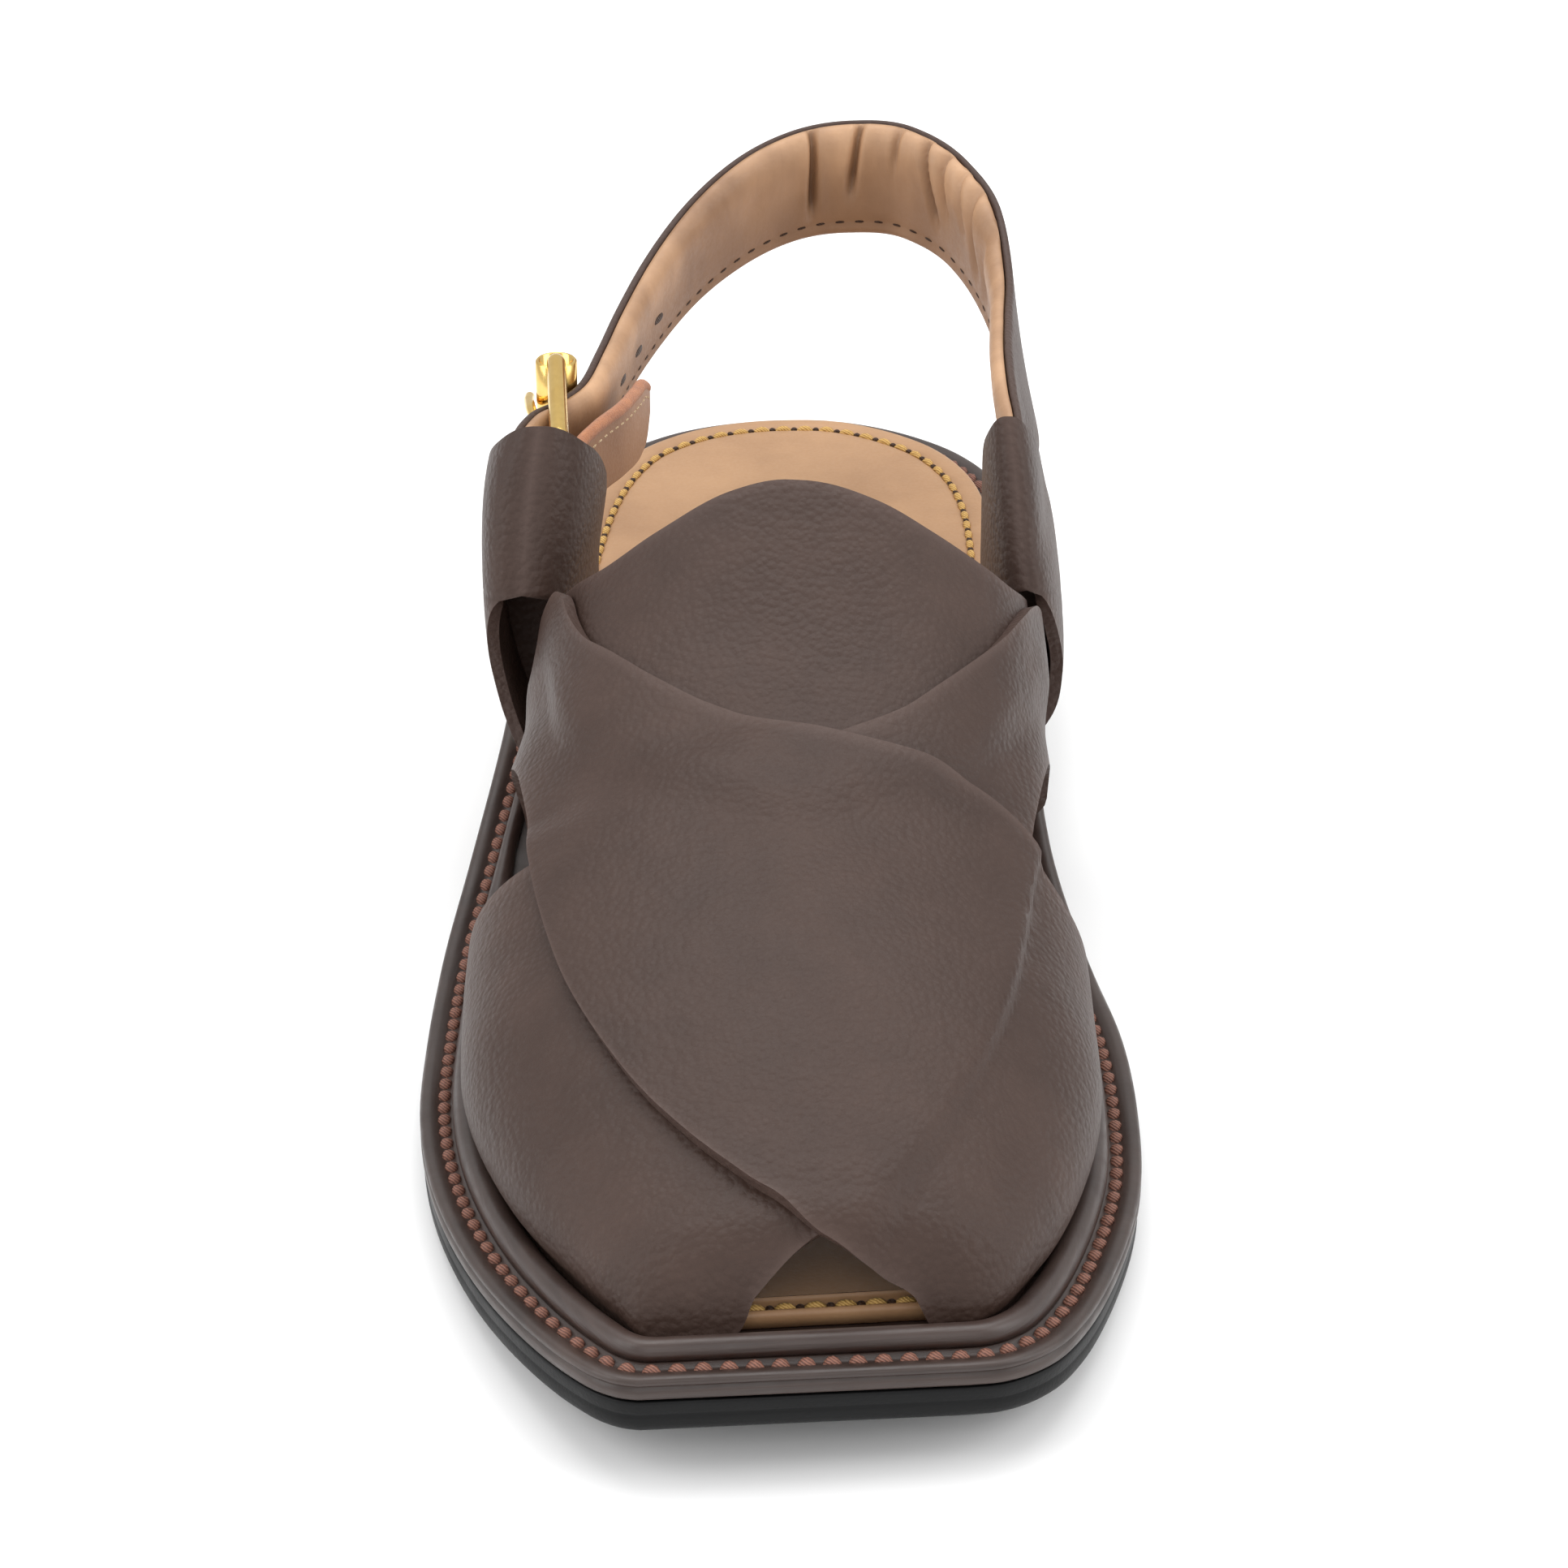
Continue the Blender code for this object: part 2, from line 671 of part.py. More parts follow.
def join_with(base, other, collection):
    """Joins a second solid to the first by a Boolean, and hides the second."""
    modifier = base.modifiers.new("join_" + other.name, "BOOLEAN")
    modifier.operation = "UNION"
    modifier.object = other
    hide_cutter(other, collection)


def cut_with(base, other, collection):
    modifier = base.modifiers.new("cut_" + other.name, "BOOLEAN")
    modifier.operation = "DIFFERENCE"
    modifier.object = other
    hide_cutter(other, collection)


def hide_cutter(cutter, collection):
    collection.objects.link(cutter)
    for user in list(cutter.users_collection):
        if user is not collection:
            user.objects.unlink(cutter)
    cutter.hide_render = True
    cutter.display_type = "WIRE"


def build_upper(collection, cutters, material):
    """Both straps and the tongue, joined where they cross."""
    last = Last()
    lower = strap_mesh("upper", last, LOWER_STRAP, (TONGUE,), 2, 14)
    upper = add_object("upper", lower, collection, material)
    top = strap_mesh("top_strap", last, TOP_STRAP, (LOWER_STRAP, TONGUE), 2, 14)
    join_with(upper, add_object("top_strap", top, collection, material), cutters)
    tongue = strap_mesh("tongue", last, TONGUE, (), 2, 6)
    join_with(upper, add_object("tongue", tongue, collection, material), cutters)


def ear_surface(rows, height, foot, side):
    """Outer face of a folded ear: a grid of points for each half, and the slit below."""
    levels = spread_rows(column(rows, 0), 2)
    halves = []
    for half in (0, 1):
        grid = []
        for level in levels:
            edge = 0.5
            if level < SLIT_TOP - 1e-6:
                opening = min((SLIT_TOP - level) / SLIT_BEND, 1.0)
                edge = 0.5 - LIP_SHARE * math.sqrt(opening * (2 - opening))
            place = np.linspace(0, edge, 7)
            place = place if half == 0 else 1 - place
            top = 1 - EAR_TOP_DROP / height * (2 * place - 1) ** 2
            up = level * top
            front, rear, out, spread = smooth(up, column(rows, 0), [row[1:] for row in rows]).T
            turn = np.pi * place
            sideways = np.sign(-np.cos(turn)) * np.abs(np.cos(turn)) ** EAR_FOLD
            forward = np.sin(turn) ** EAR_FOLD
            y = (rear - (rear - front) * forward) * SOLE_LENGTH
            x = foot(y) + side * (out - spread * (sideways + 1) / 2) * BALL_WIDTH
            base = midsole_top(y) + GAP
            over_insole = half * (INSOLE_THICKNESS + 2 * GAP) * np.clip(1 - up / 0.4, 0, 1)
            z = base + up * (height + midsole_top(to_y(0.45)) - base) + over_insole
            grid.append(np.column_stack((x, y, z)))
        halves.append(np.array(grid))
    return halves


def build_ear(name, rows, height, side, collection, material):
    edge = OUTLINE.edges(ear_inset, steps=4)[0 if side < 0 else 1]
    order = np.argsort(edge[:, 1])

    def foot(y):
        return np.interp(y, edge[order, 1], edge[order, 0])

    points, faces = [], []
    for half, grid in enumerate(ear_surface(rows, height, foot, side)):
        start = len(points)
        count = grid.shape[1]
        points.extend(grid.reshape(-1, 3))
        for i in range(grid.shape[0] - 1):
            for j in range(count - 1):
                a = start + i * count + j
                quad = (a, a + 1, a + count + 1, a + count)
                faces.append(quad if half == 0 else quad[::-1])
    mesh = mesh_from(name, points, faces)
    ear = add_object(name, mesh, collection, material)
    wall = ear.modifiers.new("wall", "SOLIDIFY")
    wall.thickness = EAR_LEATHER
    wall.offset = -1.0
    return ear


def band_inside(path):
    """Horizontal direction from a band's outer face to its inner face, at each point."""
    ahead = np.gradient(path, axis=0)
    ahead /= np.linalg.norm(ahead, axis=1, keepdims=True)
    return np.column_stack((-ahead[:, 1], ahead[:, 0]))


def band_sections(path, tops, heights, depths, leans, softness=0.3):
    """Upright sections of a band along its outer face, with softened edges."""
    inside = band_inside(path)
    profile = (
        (0.0, softness), (softness, 0.0), (1 - softness, 0.0), (1.0, softness),
        (1.0, -softness), (1 - softness, -0.0), (softness, -0.0), (0.0, -softness),
    )
    sections = []
    for i in range(len(path)):
        section = []
        for k, (across, drop) in enumerate(profile):
            is_low = k >= len(profile) // 2
            way_in = across * depths[i] + leans[i] * heights[i] * is_low
            plan = path[i] + inside[i] * way_in
            level = tops[i] - heights[i] * is_low - drop * depths[i]
            section.append((plan[0], plan[1], level))
        sections.append(np.array(section))
    return sections


def strap_line():
    """The back strap's rows in metres, with more between them: x, y, top, height, depth, lean."""
    rows = np.array(BACK_STRAP)
    chord = np.linalg.norm(np.diff(rows[:, :2], axis=0), axis=1)
    place = np.concatenate(([0.0], np.cumsum(chord)))
    dense = smooth(spread_rows(place, 2), place, rows)
    sizes = (BALL_WIDTH, SOLE_LENGTH, STRAP_TOP, STRAP_HEIGHT, STRAP_THICKNESS, 1.0)
    return dense * sizes


def build_back_strap(collection, material):
    line = strap_line()
    sections = band_sections(line[:, :2], *line[:, 2:].T)
    mesh = sweep_mesh("back_strap", sections)
    return add_object("back_strap", mesh, collection, material)


def build_heel_block(collection, material):
    """The block under the seat, its breast cut straight across."""
    bevel = 0.0010
    lateral, medial = OUTLINE.edges(HEEL_BLOCK_INSET)
    kept = (to_along(lateral[:, 1]) < HEEL_BREAST) & (to_along(medial[:, 1]) < HEEL_BREAST)

    def level(inset, height):
        sides = []
        for edge in OUTLINE.edges(inset):
            side = edge[kept]
            side[-1, 1] = to_y(HEEL_BREAST)
            sides.append(side)
        loop = np.vstack((sides[0], sides[1][:0:-1]))
        return np.column_stack((loop, height(loop[:, 1])))

    rings = [
        level(HEEL_BLOCK_INSET + bevel, lambda y: np.zeros_like(y)),
        level(HEEL_BLOCK_INSET, lambda y: np.full_like(y, bevel)),
        level(HEEL_BLOCK_INSET, lambda y: ground_line(y) - GAP),
    ]
    add_object("heel_block", layer_mesh("heel_block", rings), collection, material)


def wire(name, points, diameter, closed, collection, material):
    """A round wire through points, as a mesh with its caps welded."""
    curve = bpy.data.curves.new(name, "CURVE")
    curve.dimensions = "3D"
    curve.bevel_depth = diameter / 2
    curve.bevel_resolution = 2
    curve.use_fill_caps = True
    spline = curve.splines.new("POLY")
    spline.points.add(len(points) - 1)
    for point, place in zip(spline.points, points):
        point.co = (*place, 1.0)
    spline.use_cyclic_u = closed
    guide = bpy.data.objects.new(name + "_guide", curve)
    collection.objects.link(guide)
    graph = bpy.context.evaluated_depsgraph_get()
    mesh = bpy.data.meshes.new_from_object(guide.evaluated_get(graph))
    bpy.data.objects.remove(guide, do_unlink=True)
    shape = bmesh.new()
    shape.from_mesh(mesh)
    bmesh.ops.remove_doubles(shape, verts=shape.verts, dist=1e-6)
    bmesh.ops.recalc_face_normals(shape, faces=shape.faces)
    shape.to_mesh(mesh)
    shape.free()
    return add_object(name, mesh, collection, material)


def rounded_loop(corners, radius, steps=4):
    """A closed path through four corners with round bends."""
    corners = [np.array(corner) for corner in corners]
    points = []
    for i, corner in enumerate(corners):
        back = corners[i - 1] - corner
        ahead = corners[(i + 1) % len(corners)] - corner
        start = corner + back / np.linalg.norm(back) * radius
        stop = corner + ahead / np.linalg.norm(ahead) * radius
        for t in np.linspace(0, 1, steps + 1):
            points.append((1 - t) ** 2 * start + 2 * t * (1 - t) * corner + t * t * stop)
    return points


def strap_beside(back):
    """Outer face, top edge, depth and inward direction of the strap's lateral run at a place."""
    line = strap_line()
    inside = band_inside(line[:, :2])
    run = slice(len(line) // 2, None)
    y = line[run, 1][::-1]
    rows = np.column_stack((line, inside))[run][::-1]
    found = np.array([np.interp(back * SOLE_LENGTH, y, values) for values in rows.T])
    return found[:2], found[2], found[4], found[6:]


def buckle_bars():
    """Tops of the rear bar and the front bar of the frame."""
    face, top, depth, inside = strap_beside(BUCKLE_REAR_BACK)
    plan = face - inside * (ROLLER_DIAMETER / 2 + GAP)
    rear = np.array((*plan, top + BUCKLE_RISE))
    face, top, depth, inside = strap_beside(BUCKLE_FRONT_BACK)
    plan = face + inside * (depth + FRONT_BAR_INSET - WIRE_DIAMETER / 2)
    front = np.array((*plan, rear[2] - FRONT_BAR_DROP))
    return rear, front


def build_buckle(collection, cutters, strap, material):
    """Frame of round wire, the roller on its rear bar, and the prong through the strap."""
    rear, front = buckle_bars()
    down = np.array((0.0, 0.0, -BUCKLE_HEIGHT))
    corners = (rear, front, front + down, rear + down)
    path = rounded_loop(corners, BUCKLE_BEND)
    wire("buckle_frame", path, WIRE_DIAMETER, True, collection, material)
    build_roller(rear + down / 2, collection, material)

    side = np.cross((rear - front) * (1, 1, 0), (0, 0, 1))
    side /= np.linalg.norm(side)
    reach = (ROLLER_DIAMETER + PRONG_DIAMETER) / 2 + GAP
    prong = []
    for way, out, drop in PRONG:
        place = front + (rear - front) * way - side * reach * out * np.sign(side[0])
        place[2] = rear[2] - drop - FRONT_BAR_DROP * (1 - way)
        prong.append(place)
    wire("buckle_prong", prong, PRONG_DIAMETER, False, collection, material)
    hole = wire("prong_hole", prong, PRONG_DIAMETER + 4 * GAP, False, collection, material)
    cut_with(strap, hole, cutters)


def build_roller(middle, collection, material, count=20):
    """A tube that is open at both ends, turning on the rear bar."""
    bore = WIRE_DIAMETER / 2 + GAP
    rim = ROLLER_DIAMETER / 2
    half = ROLLER_LENGTH / 2
    shell = ((bore, half), (rim, half), (rim, -half), (bore, -half))
    points, faces = [], []
    for k in range(count):
        turn = 2 * math.pi * k / count
        for radius, height in shell:
            points.append((radius * math.cos(turn), radius * math.sin(turn), height))
        for i in range(4):
            j, after = (i + 1) % 4, (k + 1) % count
            faces.append((4 * k + i, 4 * k + j, 4 * after + j, 4 * after + i))
    mesh = mesh_from("buckle_roller", points, faces)
    roller = add_object("buckle_roller", mesh, collection, material)
    roller.location = middle


def build_buckle_flap(collection, material):
    rows = np.array(BUCKLE_FLAP)
    place = rows[:, 1][::-1]
    dense = smooth(spread_rows(place, 2), place, rows[::-1])[::-1]
    dense = dense * (BALL_WIDTH, SOLE_LENGTH, STRAP_TOP, FLAP_HEIGHT)
    depths = np.full(len(dense), FLAP_THICKNESS)
    sections = band_sections(dense[:, :2], dense[:, 2], dense[:, 3], depths, 0 * depths)
    add_object("buckle_flap", sweep_mesh("buckle_flap", sections), collection, material)


def clear_scene():
    for item in list(bpy.data.objects):
        bpy.data.objects.remove(item, do_unlink=True)


def main():
    clear_scene()
    shoe = new_collection("peshawari_chappal")
    rubber = make_material("rubber_black", (0.020, 0.020, 0.022), 0.55)
    edge = make_material("edge_leather", (0.060, 0.034, 0.026), 0.45)
    tan = make_material("leather_tan", (0.60, 0.36, 0.18), 0.50)
    build_outsole(shoe, rubber)
    build_midsole(shoe, edge)
    build_insole(shoe, tan)
    build_rand(shoe, edge)
    brown = make_material("leather_brown", (0.085, 0.052, 0.042), 0.50)
    cutters = new_collection("cutters")
    build_upper(shoe, cutters, brown)
    build_ear("ear_lateral", LATERAL_EAR, LATERAL_EAR_HEIGHT, -1, shoe, brown)
    build_ear("ear_medial", MEDIAL_EAR, MEDIAL_EAR_HEIGHT, 1, shoe, brown)
    strap = build_back_strap(shoe, brown)
    brass = make_material("brass", (0.80, 0.56, 0.22), 0.28, 1.0)
    build_heel_block(shoe, rubber)
    build_buckle(shoe, cutters, strap, brass)
    build_buckle_flap(shoe, tan)


main()
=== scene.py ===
"""Looks of the peshawari chappal, right shoe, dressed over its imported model.

The toe points along -Y, the heel along +Y, and +X is the medial side. Every piece is in
metres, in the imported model's frame. The shapes of the last, the straps, the ears and the
sole repeat the part's own, with finer steps, round edges, folds, stitches and materials.
"""

import math

import bmesh
import bpy
import numpy as np
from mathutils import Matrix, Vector

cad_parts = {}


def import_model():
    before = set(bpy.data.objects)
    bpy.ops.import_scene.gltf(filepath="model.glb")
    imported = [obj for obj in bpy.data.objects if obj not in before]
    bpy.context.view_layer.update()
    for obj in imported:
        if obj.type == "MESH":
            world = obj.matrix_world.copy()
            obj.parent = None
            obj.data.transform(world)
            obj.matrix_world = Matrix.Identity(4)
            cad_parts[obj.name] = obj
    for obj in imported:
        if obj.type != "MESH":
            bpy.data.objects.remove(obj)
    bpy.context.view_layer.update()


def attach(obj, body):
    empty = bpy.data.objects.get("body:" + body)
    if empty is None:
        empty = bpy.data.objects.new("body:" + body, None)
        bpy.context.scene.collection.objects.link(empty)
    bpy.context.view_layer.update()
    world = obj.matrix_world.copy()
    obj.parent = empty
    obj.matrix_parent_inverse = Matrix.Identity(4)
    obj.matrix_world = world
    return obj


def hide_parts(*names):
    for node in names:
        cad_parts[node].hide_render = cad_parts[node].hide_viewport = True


# Main sizes of the last and the sole
SOLE_LENGTH = 0.293
BALL_WIDTH = 0.106
INSTEP_HEIGHT = 0.065
HEEL_LIFT = 0.017
TOE_SPRING = 0.0085
OUTSOLE_THICKNESS = 0.005
MIDSOLE_THICKNESS = 0.0035
INSOLE_THICKNESS = 0.0025
GAP = 0.0003
WELD = 1e-6

# Leather of the upper and the ledge that it stands behind
LEATHER = 0.0022
SEAT_STEP = 0.0005
WELT_LEDGE = 0.0048
RAND_WIDTH = 0.0042
RAND_HEIGHT = 0.0026
HEEL_BORDER = 0.0062

# Ears, back strap and buckle
LATERAL_EAR_HEIGHT = 0.0615
MEDIAL_EAR_HEIGHT = 0.0632
EAR_TOP_DROP = 0.013
EAR_LEATHER = 0.0020
STRAP_TOP = 0.0908
STRAP_HEIGHT = 0.021
STRAP_THICKNESS = 0.0046
FLAP_THICKNESS = 0.0018
FLAP_HEIGHT = 0.0125
WIRE_DIAMETER = 0.0032
ROLLER_DIAMETER = 0.0070
BUCKLE_HEIGHT = 0.0205
ROLLER_LENGTH = 0.0155
RAIL_DROP = 0.0024
BUCKLE_BEND = 0.0021
PRONG_DIAMETER = 0.0018
HEEL_BREAST = 0.29
HEEL_BLOCK_INSET = 0.0006

# How finely the shapes are drawn
OUTLINE_STEPS = 8
STRAP_ROW_STEPS = 9
STRAP_STEPS = 52
EAR_ROW_STEPS = 8
EAR_STEPS = 26
BAND_STEPS = 28
NORMAL_REACH = 0.012

# Edge of the welt, from the middle of the heel to the toe.
# Columns: lateral along, lateral out, medial along, medial out.
# "along" is a share of the sole's length from the heel, "out" a share of the ball width.
WELT_EDGE = (
    (0.000, -0.028, 0.000, 0.028),
    (0.003, 0.057, 0.002, 0.104),
    (0.012, 0.137, 0.012, 0.179),
    (0.027, 0.208, 0.030, 0.255),
    (0.056, 0.288, 0.056, 0.324),
    (0.097, 0.342, 0.097, 0.382),
    (0.148, 0.377, 0.148, 0.413),
    (0.227, 0.402, 0.227, 0.423),
    (0.329, 0.417, 0.329, 0.413),
    (0.415, 0.436, 0.415, 0.406),
    (0.500, 0.465, 0.500, 0.418),
    (0.585, 0.492, 0.585, 0.455),
    (0.671, 0.500, 0.671, 0.494),
    (0.746, 0.494, 0.746, 0.500),
    (0.814, 0.462, 0.814, 0.487),
    (0.882, 0.401, 0.882, 0.445),
    (0.937, 0.328, 0.937, 0.392),
    (0.976, 0.260, 0.965, 0.347),
    (0.994, 0.213, 0.981, 0.292),
    (1.000, 0.170, 0.986, 0.236),
)

# Where the sole leaves the ground. Columns: along, toe spring, heel lift.
SOLE_LINE = (
    (0.00, 0.000, 1.000),
    (0.24, 0.000, 1.000),
    (0.29, 0.000, 0.965),
    (0.35, 0.000, 0.850),
    (0.42, 0.000, 0.615),
    (0.49, 0.000, 0.330),
    (0.56, 0.000, 0.095),
    (0.62, 0.000, 0.000),
    (0.68, 0.000, 0.000),
    (0.76, 0.070, 0.000),
    (0.84, 0.260, 0.000),
    (0.92, 0.560, 0.000),
    (1.00, 1.000, 0.000),
)

# What lies inside the welt edge. Columns: along, rand (share of its full width),
# slack (share of an ear's thickness left free), seat (share of the plain heel border).
BORDER = (
    (0.00, 0.00, 0.00, 1.00),
    (0.30, 0.00, 0.00, 1.00),
    (0.37, 0.57, 1.20, 0.00),
    (0.50, 0.57, 1.20, 0.00),
    (0.58, 1.00, 0.18, 0.00),
    (0.88, 1.00, 0.18, 0.00),
    (0.94, 1.00, 0.35, 0.00),
    (1.00, 1.00, 0.35, 0.00),
)

# Inside of the vamp over the midsole. Columns: along, ridge height (share of the instep
# height), ridge place (share of the way across), lateral belly, medial belly (shares of the
# ball width), lateral squareness, medial squareness.
LAST = (
    (0.300, 1.310, 0.57, -0.012, 0.064, 2.0, 2.6),
    (0.415, 1.150, 0.57, -0.010, 0.070, 2.0, 2.6),
    (0.459, 1.060, 0.57, -0.008, 0.072, 2.0, 2.6),
    (0.500, 0.966, 0.57, -0.008, 0.071, 2.0, 2.6),
    (0.551, 0.862, 0.56, 0.000, 0.056, 2.0, 2.5),
    (0.602, 0.762, 0.55, 0.012, 0.039, 2.1, 2.4),
    (0.650, 0.670, 0.53, 0.022, 0.026, 2.2, 2.3),
    (0.695, 0.608, 0.52, 0.024, 0.021, 2.2, 2.2),
    (0.739, 0.550, 0.52, 0.026, 0.021, 2.2, 2.2),
    (0.790, 0.477, 0.52, 0.034, 0.026, 2.2, 2.2),
    (0.841, 0.392, 0.53, 0.030, 0.024, 2.2, 2.2),
    (0.889, 0.300, 0.54, 0.020, 0.018, 2.3, 2.3),
    (0.920, 0.235, 0.55, 0.008, 0.008, 2.4, 2.4),
    (0.938, 0.185, 0.55, 0.004, 0.004, 2.5, 2.5),
    (0.948, 0.120, 0.55, 0.001, 0.001, 2.6, 2.6),
    (0.954, 0.045, 0.55, 0.000, 0.000, 2.6, 2.6),
)
BELLY_HEIGHT = 0.30
BELLY_SHARE = 0.12

# The two wide straps and the tongue on the last. Columns: across (share of the girth from the
# lateral foot), rear edge along, front edge along.
TOP_STRAP = (
    (0.00, 0.445, 0.520),
    (0.08, 0.450, 0.530),
    (0.15, 0.458, 0.550),
    (0.20, 0.472, 0.575),
    (0.25, 0.492, 0.615),
    (0.28, 0.522, 0.660),
    (0.31, 0.548, 0.745),
    (0.35, 0.573, 0.837),
    (0.40, 0.602, 0.892),
    (0.45, 0.625, 0.921),
    (0.50, 0.640, 0.940),
    (0.55, 0.648, 0.947),
    (0.61, 0.653, 0.950),
    (0.66, 0.659, 0.952),
    (0.70, 0.667, 0.953),
    (0.76, 0.685, 0.954),
    (0.85, 0.690, 0.954),
    (1.00, 0.680, 0.954),
)
LOWER_STRAP = (
    (0.00, 0.660, 0.954),
    (0.10, 0.672, 0.954),
    (0.20, 0.680, 0.953),
    (0.28, 0.686, 0.954),
    (0.33, 0.688, 0.954),
    (0.38, 0.686, 0.954),
    (0.42, 0.678, 0.951),
    (0.45, 0.669, 0.947),
    (0.49, 0.655, 0.939),
    (0.54, 0.637, 0.925),
    (0.58, 0.621, 0.905),
    (0.62, 0.598, 0.873),
    (0.66, 0.574, 0.820),
    (0.70, 0.549, 0.735),
    (0.73, 0.528, 0.660),
    (0.76, 0.508, 0.615),
    (0.79, 0.490, 0.585),
    (0.84, 0.466, 0.555),
    (0.91, 0.453, 0.532),
    (1.00, 0.445, 0.520),
)
TONGUE = (
    (0.18, 0.460, 0.505),
    (0.21, 0.468, 0.512),
    (0.25, 0.484, 0.530),
    (0.30, 0.500, 0.580),
    (0.37, 0.505, 0.625),
    (0.44, 0.500, 0.660),
    (0.50, 0.498, 0.680),
    (0.56, 0.505, 0.665),
    (0.62, 0.512, 0.640),
    (0.69, 0.511, 0.590),
    (0.75, 0.500, 0.550),
    (0.79, 0.484, 0.520),
    (0.83, 0.462, 0.505),
)
LAP_FADE = 0.035
FOOT_SHARE = 0.14
TOE_CROWDING = 1.6
STRAP_CLEARANCE = 0.0001
TOE_TUCK = 0.0028
TUCK_START = 0.9505
TUCK_LENGTH = 0.0025

# Ears. Columns: up (share of the ear's height), front and rear (shares of the sole's length,
# ahead of the middle negative), out (bulge over its foot) and spread (outer face to inner
# face), both shares of the ball width.
LATERAL_EAR = (
    (0.00, 0.010, 0.100, 0.000, 0.078),
    (0.05, 0.010, 0.101, 0.004, 0.082),
    (0.11, 0.011, 0.103, 0.026, 0.108),
    (0.20, 0.013, 0.106, 0.048, 0.132),
    (0.33, 0.016, 0.110, 0.066, 0.148),
    (0.50, 0.022, 0.118, 0.080, 0.159),
    (0.62, 0.029, 0.125, 0.086, 0.172),
    (0.70, 0.035, 0.130, 0.088, 0.180),
    (0.78, 0.043, 0.134, 0.087, 0.180),
    (0.88, 0.055, 0.137, 0.077, 0.166),
    (1.00, 0.072, 0.140, 0.052, 0.128),
)
MEDIAL_EAR = (
    (0.00, 0.010, 0.100, 0.000, 0.080),
    (0.05, 0.010, 0.101, 0.005, 0.086),
    (0.11, 0.011, 0.103, 0.046, 0.122),
    (0.20, 0.013, 0.106, 0.088, 0.136),
    (0.33, 0.016, 0.110, 0.104, 0.129),
    (0.50, 0.022, 0.118, 0.097, 0.119),
    (0.62, 0.029, 0.125, 0.085, 0.107),
    (0.70, 0.035, 0.130, 0.073, 0.095),
    (0.78, 0.043, 0.134, 0.067, 0.090),
    (0.88, 0.055, 0.137, 0.058, 0.082),
    (1.00, 0.072, 0.140, 0.040, 0.064),
)
SLIT_TOP = 0.62
SLIT_BENDS = (0.42, 0.20)
EAR_FOLD = 0.70
LIP_SHARE = 0.34
EAR_STATION = 0.45
INSOLE_STEP_FADE = 0.4
EAR_CORNER = 0.007
CORNER_START = 0.72
CLOSED_TO = 0.60

# Back strap, from inside the medial ear round the heel into the lateral ear. Columns: out
# (share of the ball width), back (share of the sole's length), top edge (share of the
# strap's highest point), height and thickness (shares of the strap's own), lean of the lower
# edge into the shoe (share of the strap's height).
BACK_STRAP = (
    (0.376, 0.090, 0.742, 0.76, 0.66, 0.02),
    (0.377, 0.118, 0.766, 0.80, 0.68, 0.03),
    (0.379, 0.143, 0.785, 0.84, 0.74, 0.00),
    (0.373, 0.171, 0.805, 0.87, 0.90, -0.14),
    (0.370, 0.205, 0.826, 0.90, 0.98, -0.26),
    (0.376, 0.256, 0.838, 0.95, 1.00, -0.24),
    (0.384, 0.307, 0.859, 0.98, 1.00, -0.12),
    (0.371, 0.362, 0.925, 1.00, 1.00, 0.00),
    (0.321, 0.406, 0.969, 1.00, 1.00, 0.00),
    (0.236, 0.438, 1.000, 1.00, 1.00, 0.00),
    (0.123, 0.452, 1.000, 1.00, 1.00, 0.00),
    (0.019, 0.447, 0.983, 0.98, 1.00, 0.00),
    (-0.085, 0.423, 0.944, 0.95, 0.98, 0.00),
    (-0.170, 0.386, 0.887, 0.88, 0.96, 0.00),
    (-0.226, 0.345, 0.837, 0.81, 0.93, 0.00),
    (-0.269, 0.297, 0.793, 0.72, 0.91, 0.00),
    (-0.295, 0.253, 0.771, 0.67, 0.87, 0.00),
    (-0.318, 0.212, 0.762, 0.67, 0.83, 0.00),
    (-0.354, 0.178, 0.771, 0.67, 0.78, 0.00),
    (-0.393, 0.155, 0.774, 0.67, 0.74, 0.00),
    (-0.410, 0.130, 0.771, 0.67, 0.68, 0.00),
    (-0.412, 0.098, 0.742, 0.64, 0.62, 0.00),
)

# Buckle: its bars beside the back strap, and the prong's path. Columns: way from the front
# bar to the rear one, out from the front bar's line to the outside of the roller, both as
# shares, and drop below the frame's top.
BUCKLE_REAR_BACK = 0.212
BUCKLE_FRONT_BACK = 0.132
BUCKLE_RISE = 0.0060
FRONT_BAR_INSET = 0.0062
FRONT_BAR_DROP = 0.0040
PRONG = (
    (0.12, 0.00, 0.0110),
    (0.26, 0.10, 0.0102),
    (0.50, 0.42, 0.0092),
    (0.72, 0.88, 0.0082),
    (0.96, 1.00, 0.0096),
    (1.08, 0.98, 0.0104),
)

# Flap behind the buckle, from its round tip into the lateral ear. Columns: out (share of the
# ball width), back (share of the sole's length), top edge (share of the strap's highest
# point), height (share of the flap's own).
BUCKLE_FLAP = (
    (-0.224, 0.252, 0.700, 0.40),
    (-0.228, 0.244, 0.716, 0.78),
    (-0.236, 0.225, 0.728, 0.98),
    (-0.256, 0.190, 0.744, 1.00),
    (-0.290, 0.155, 0.756, 1.00),
    (-0.317, 0.125, 0.756, 1.00),
    (-0.321, 0.098, 0.744, 0.90),
)

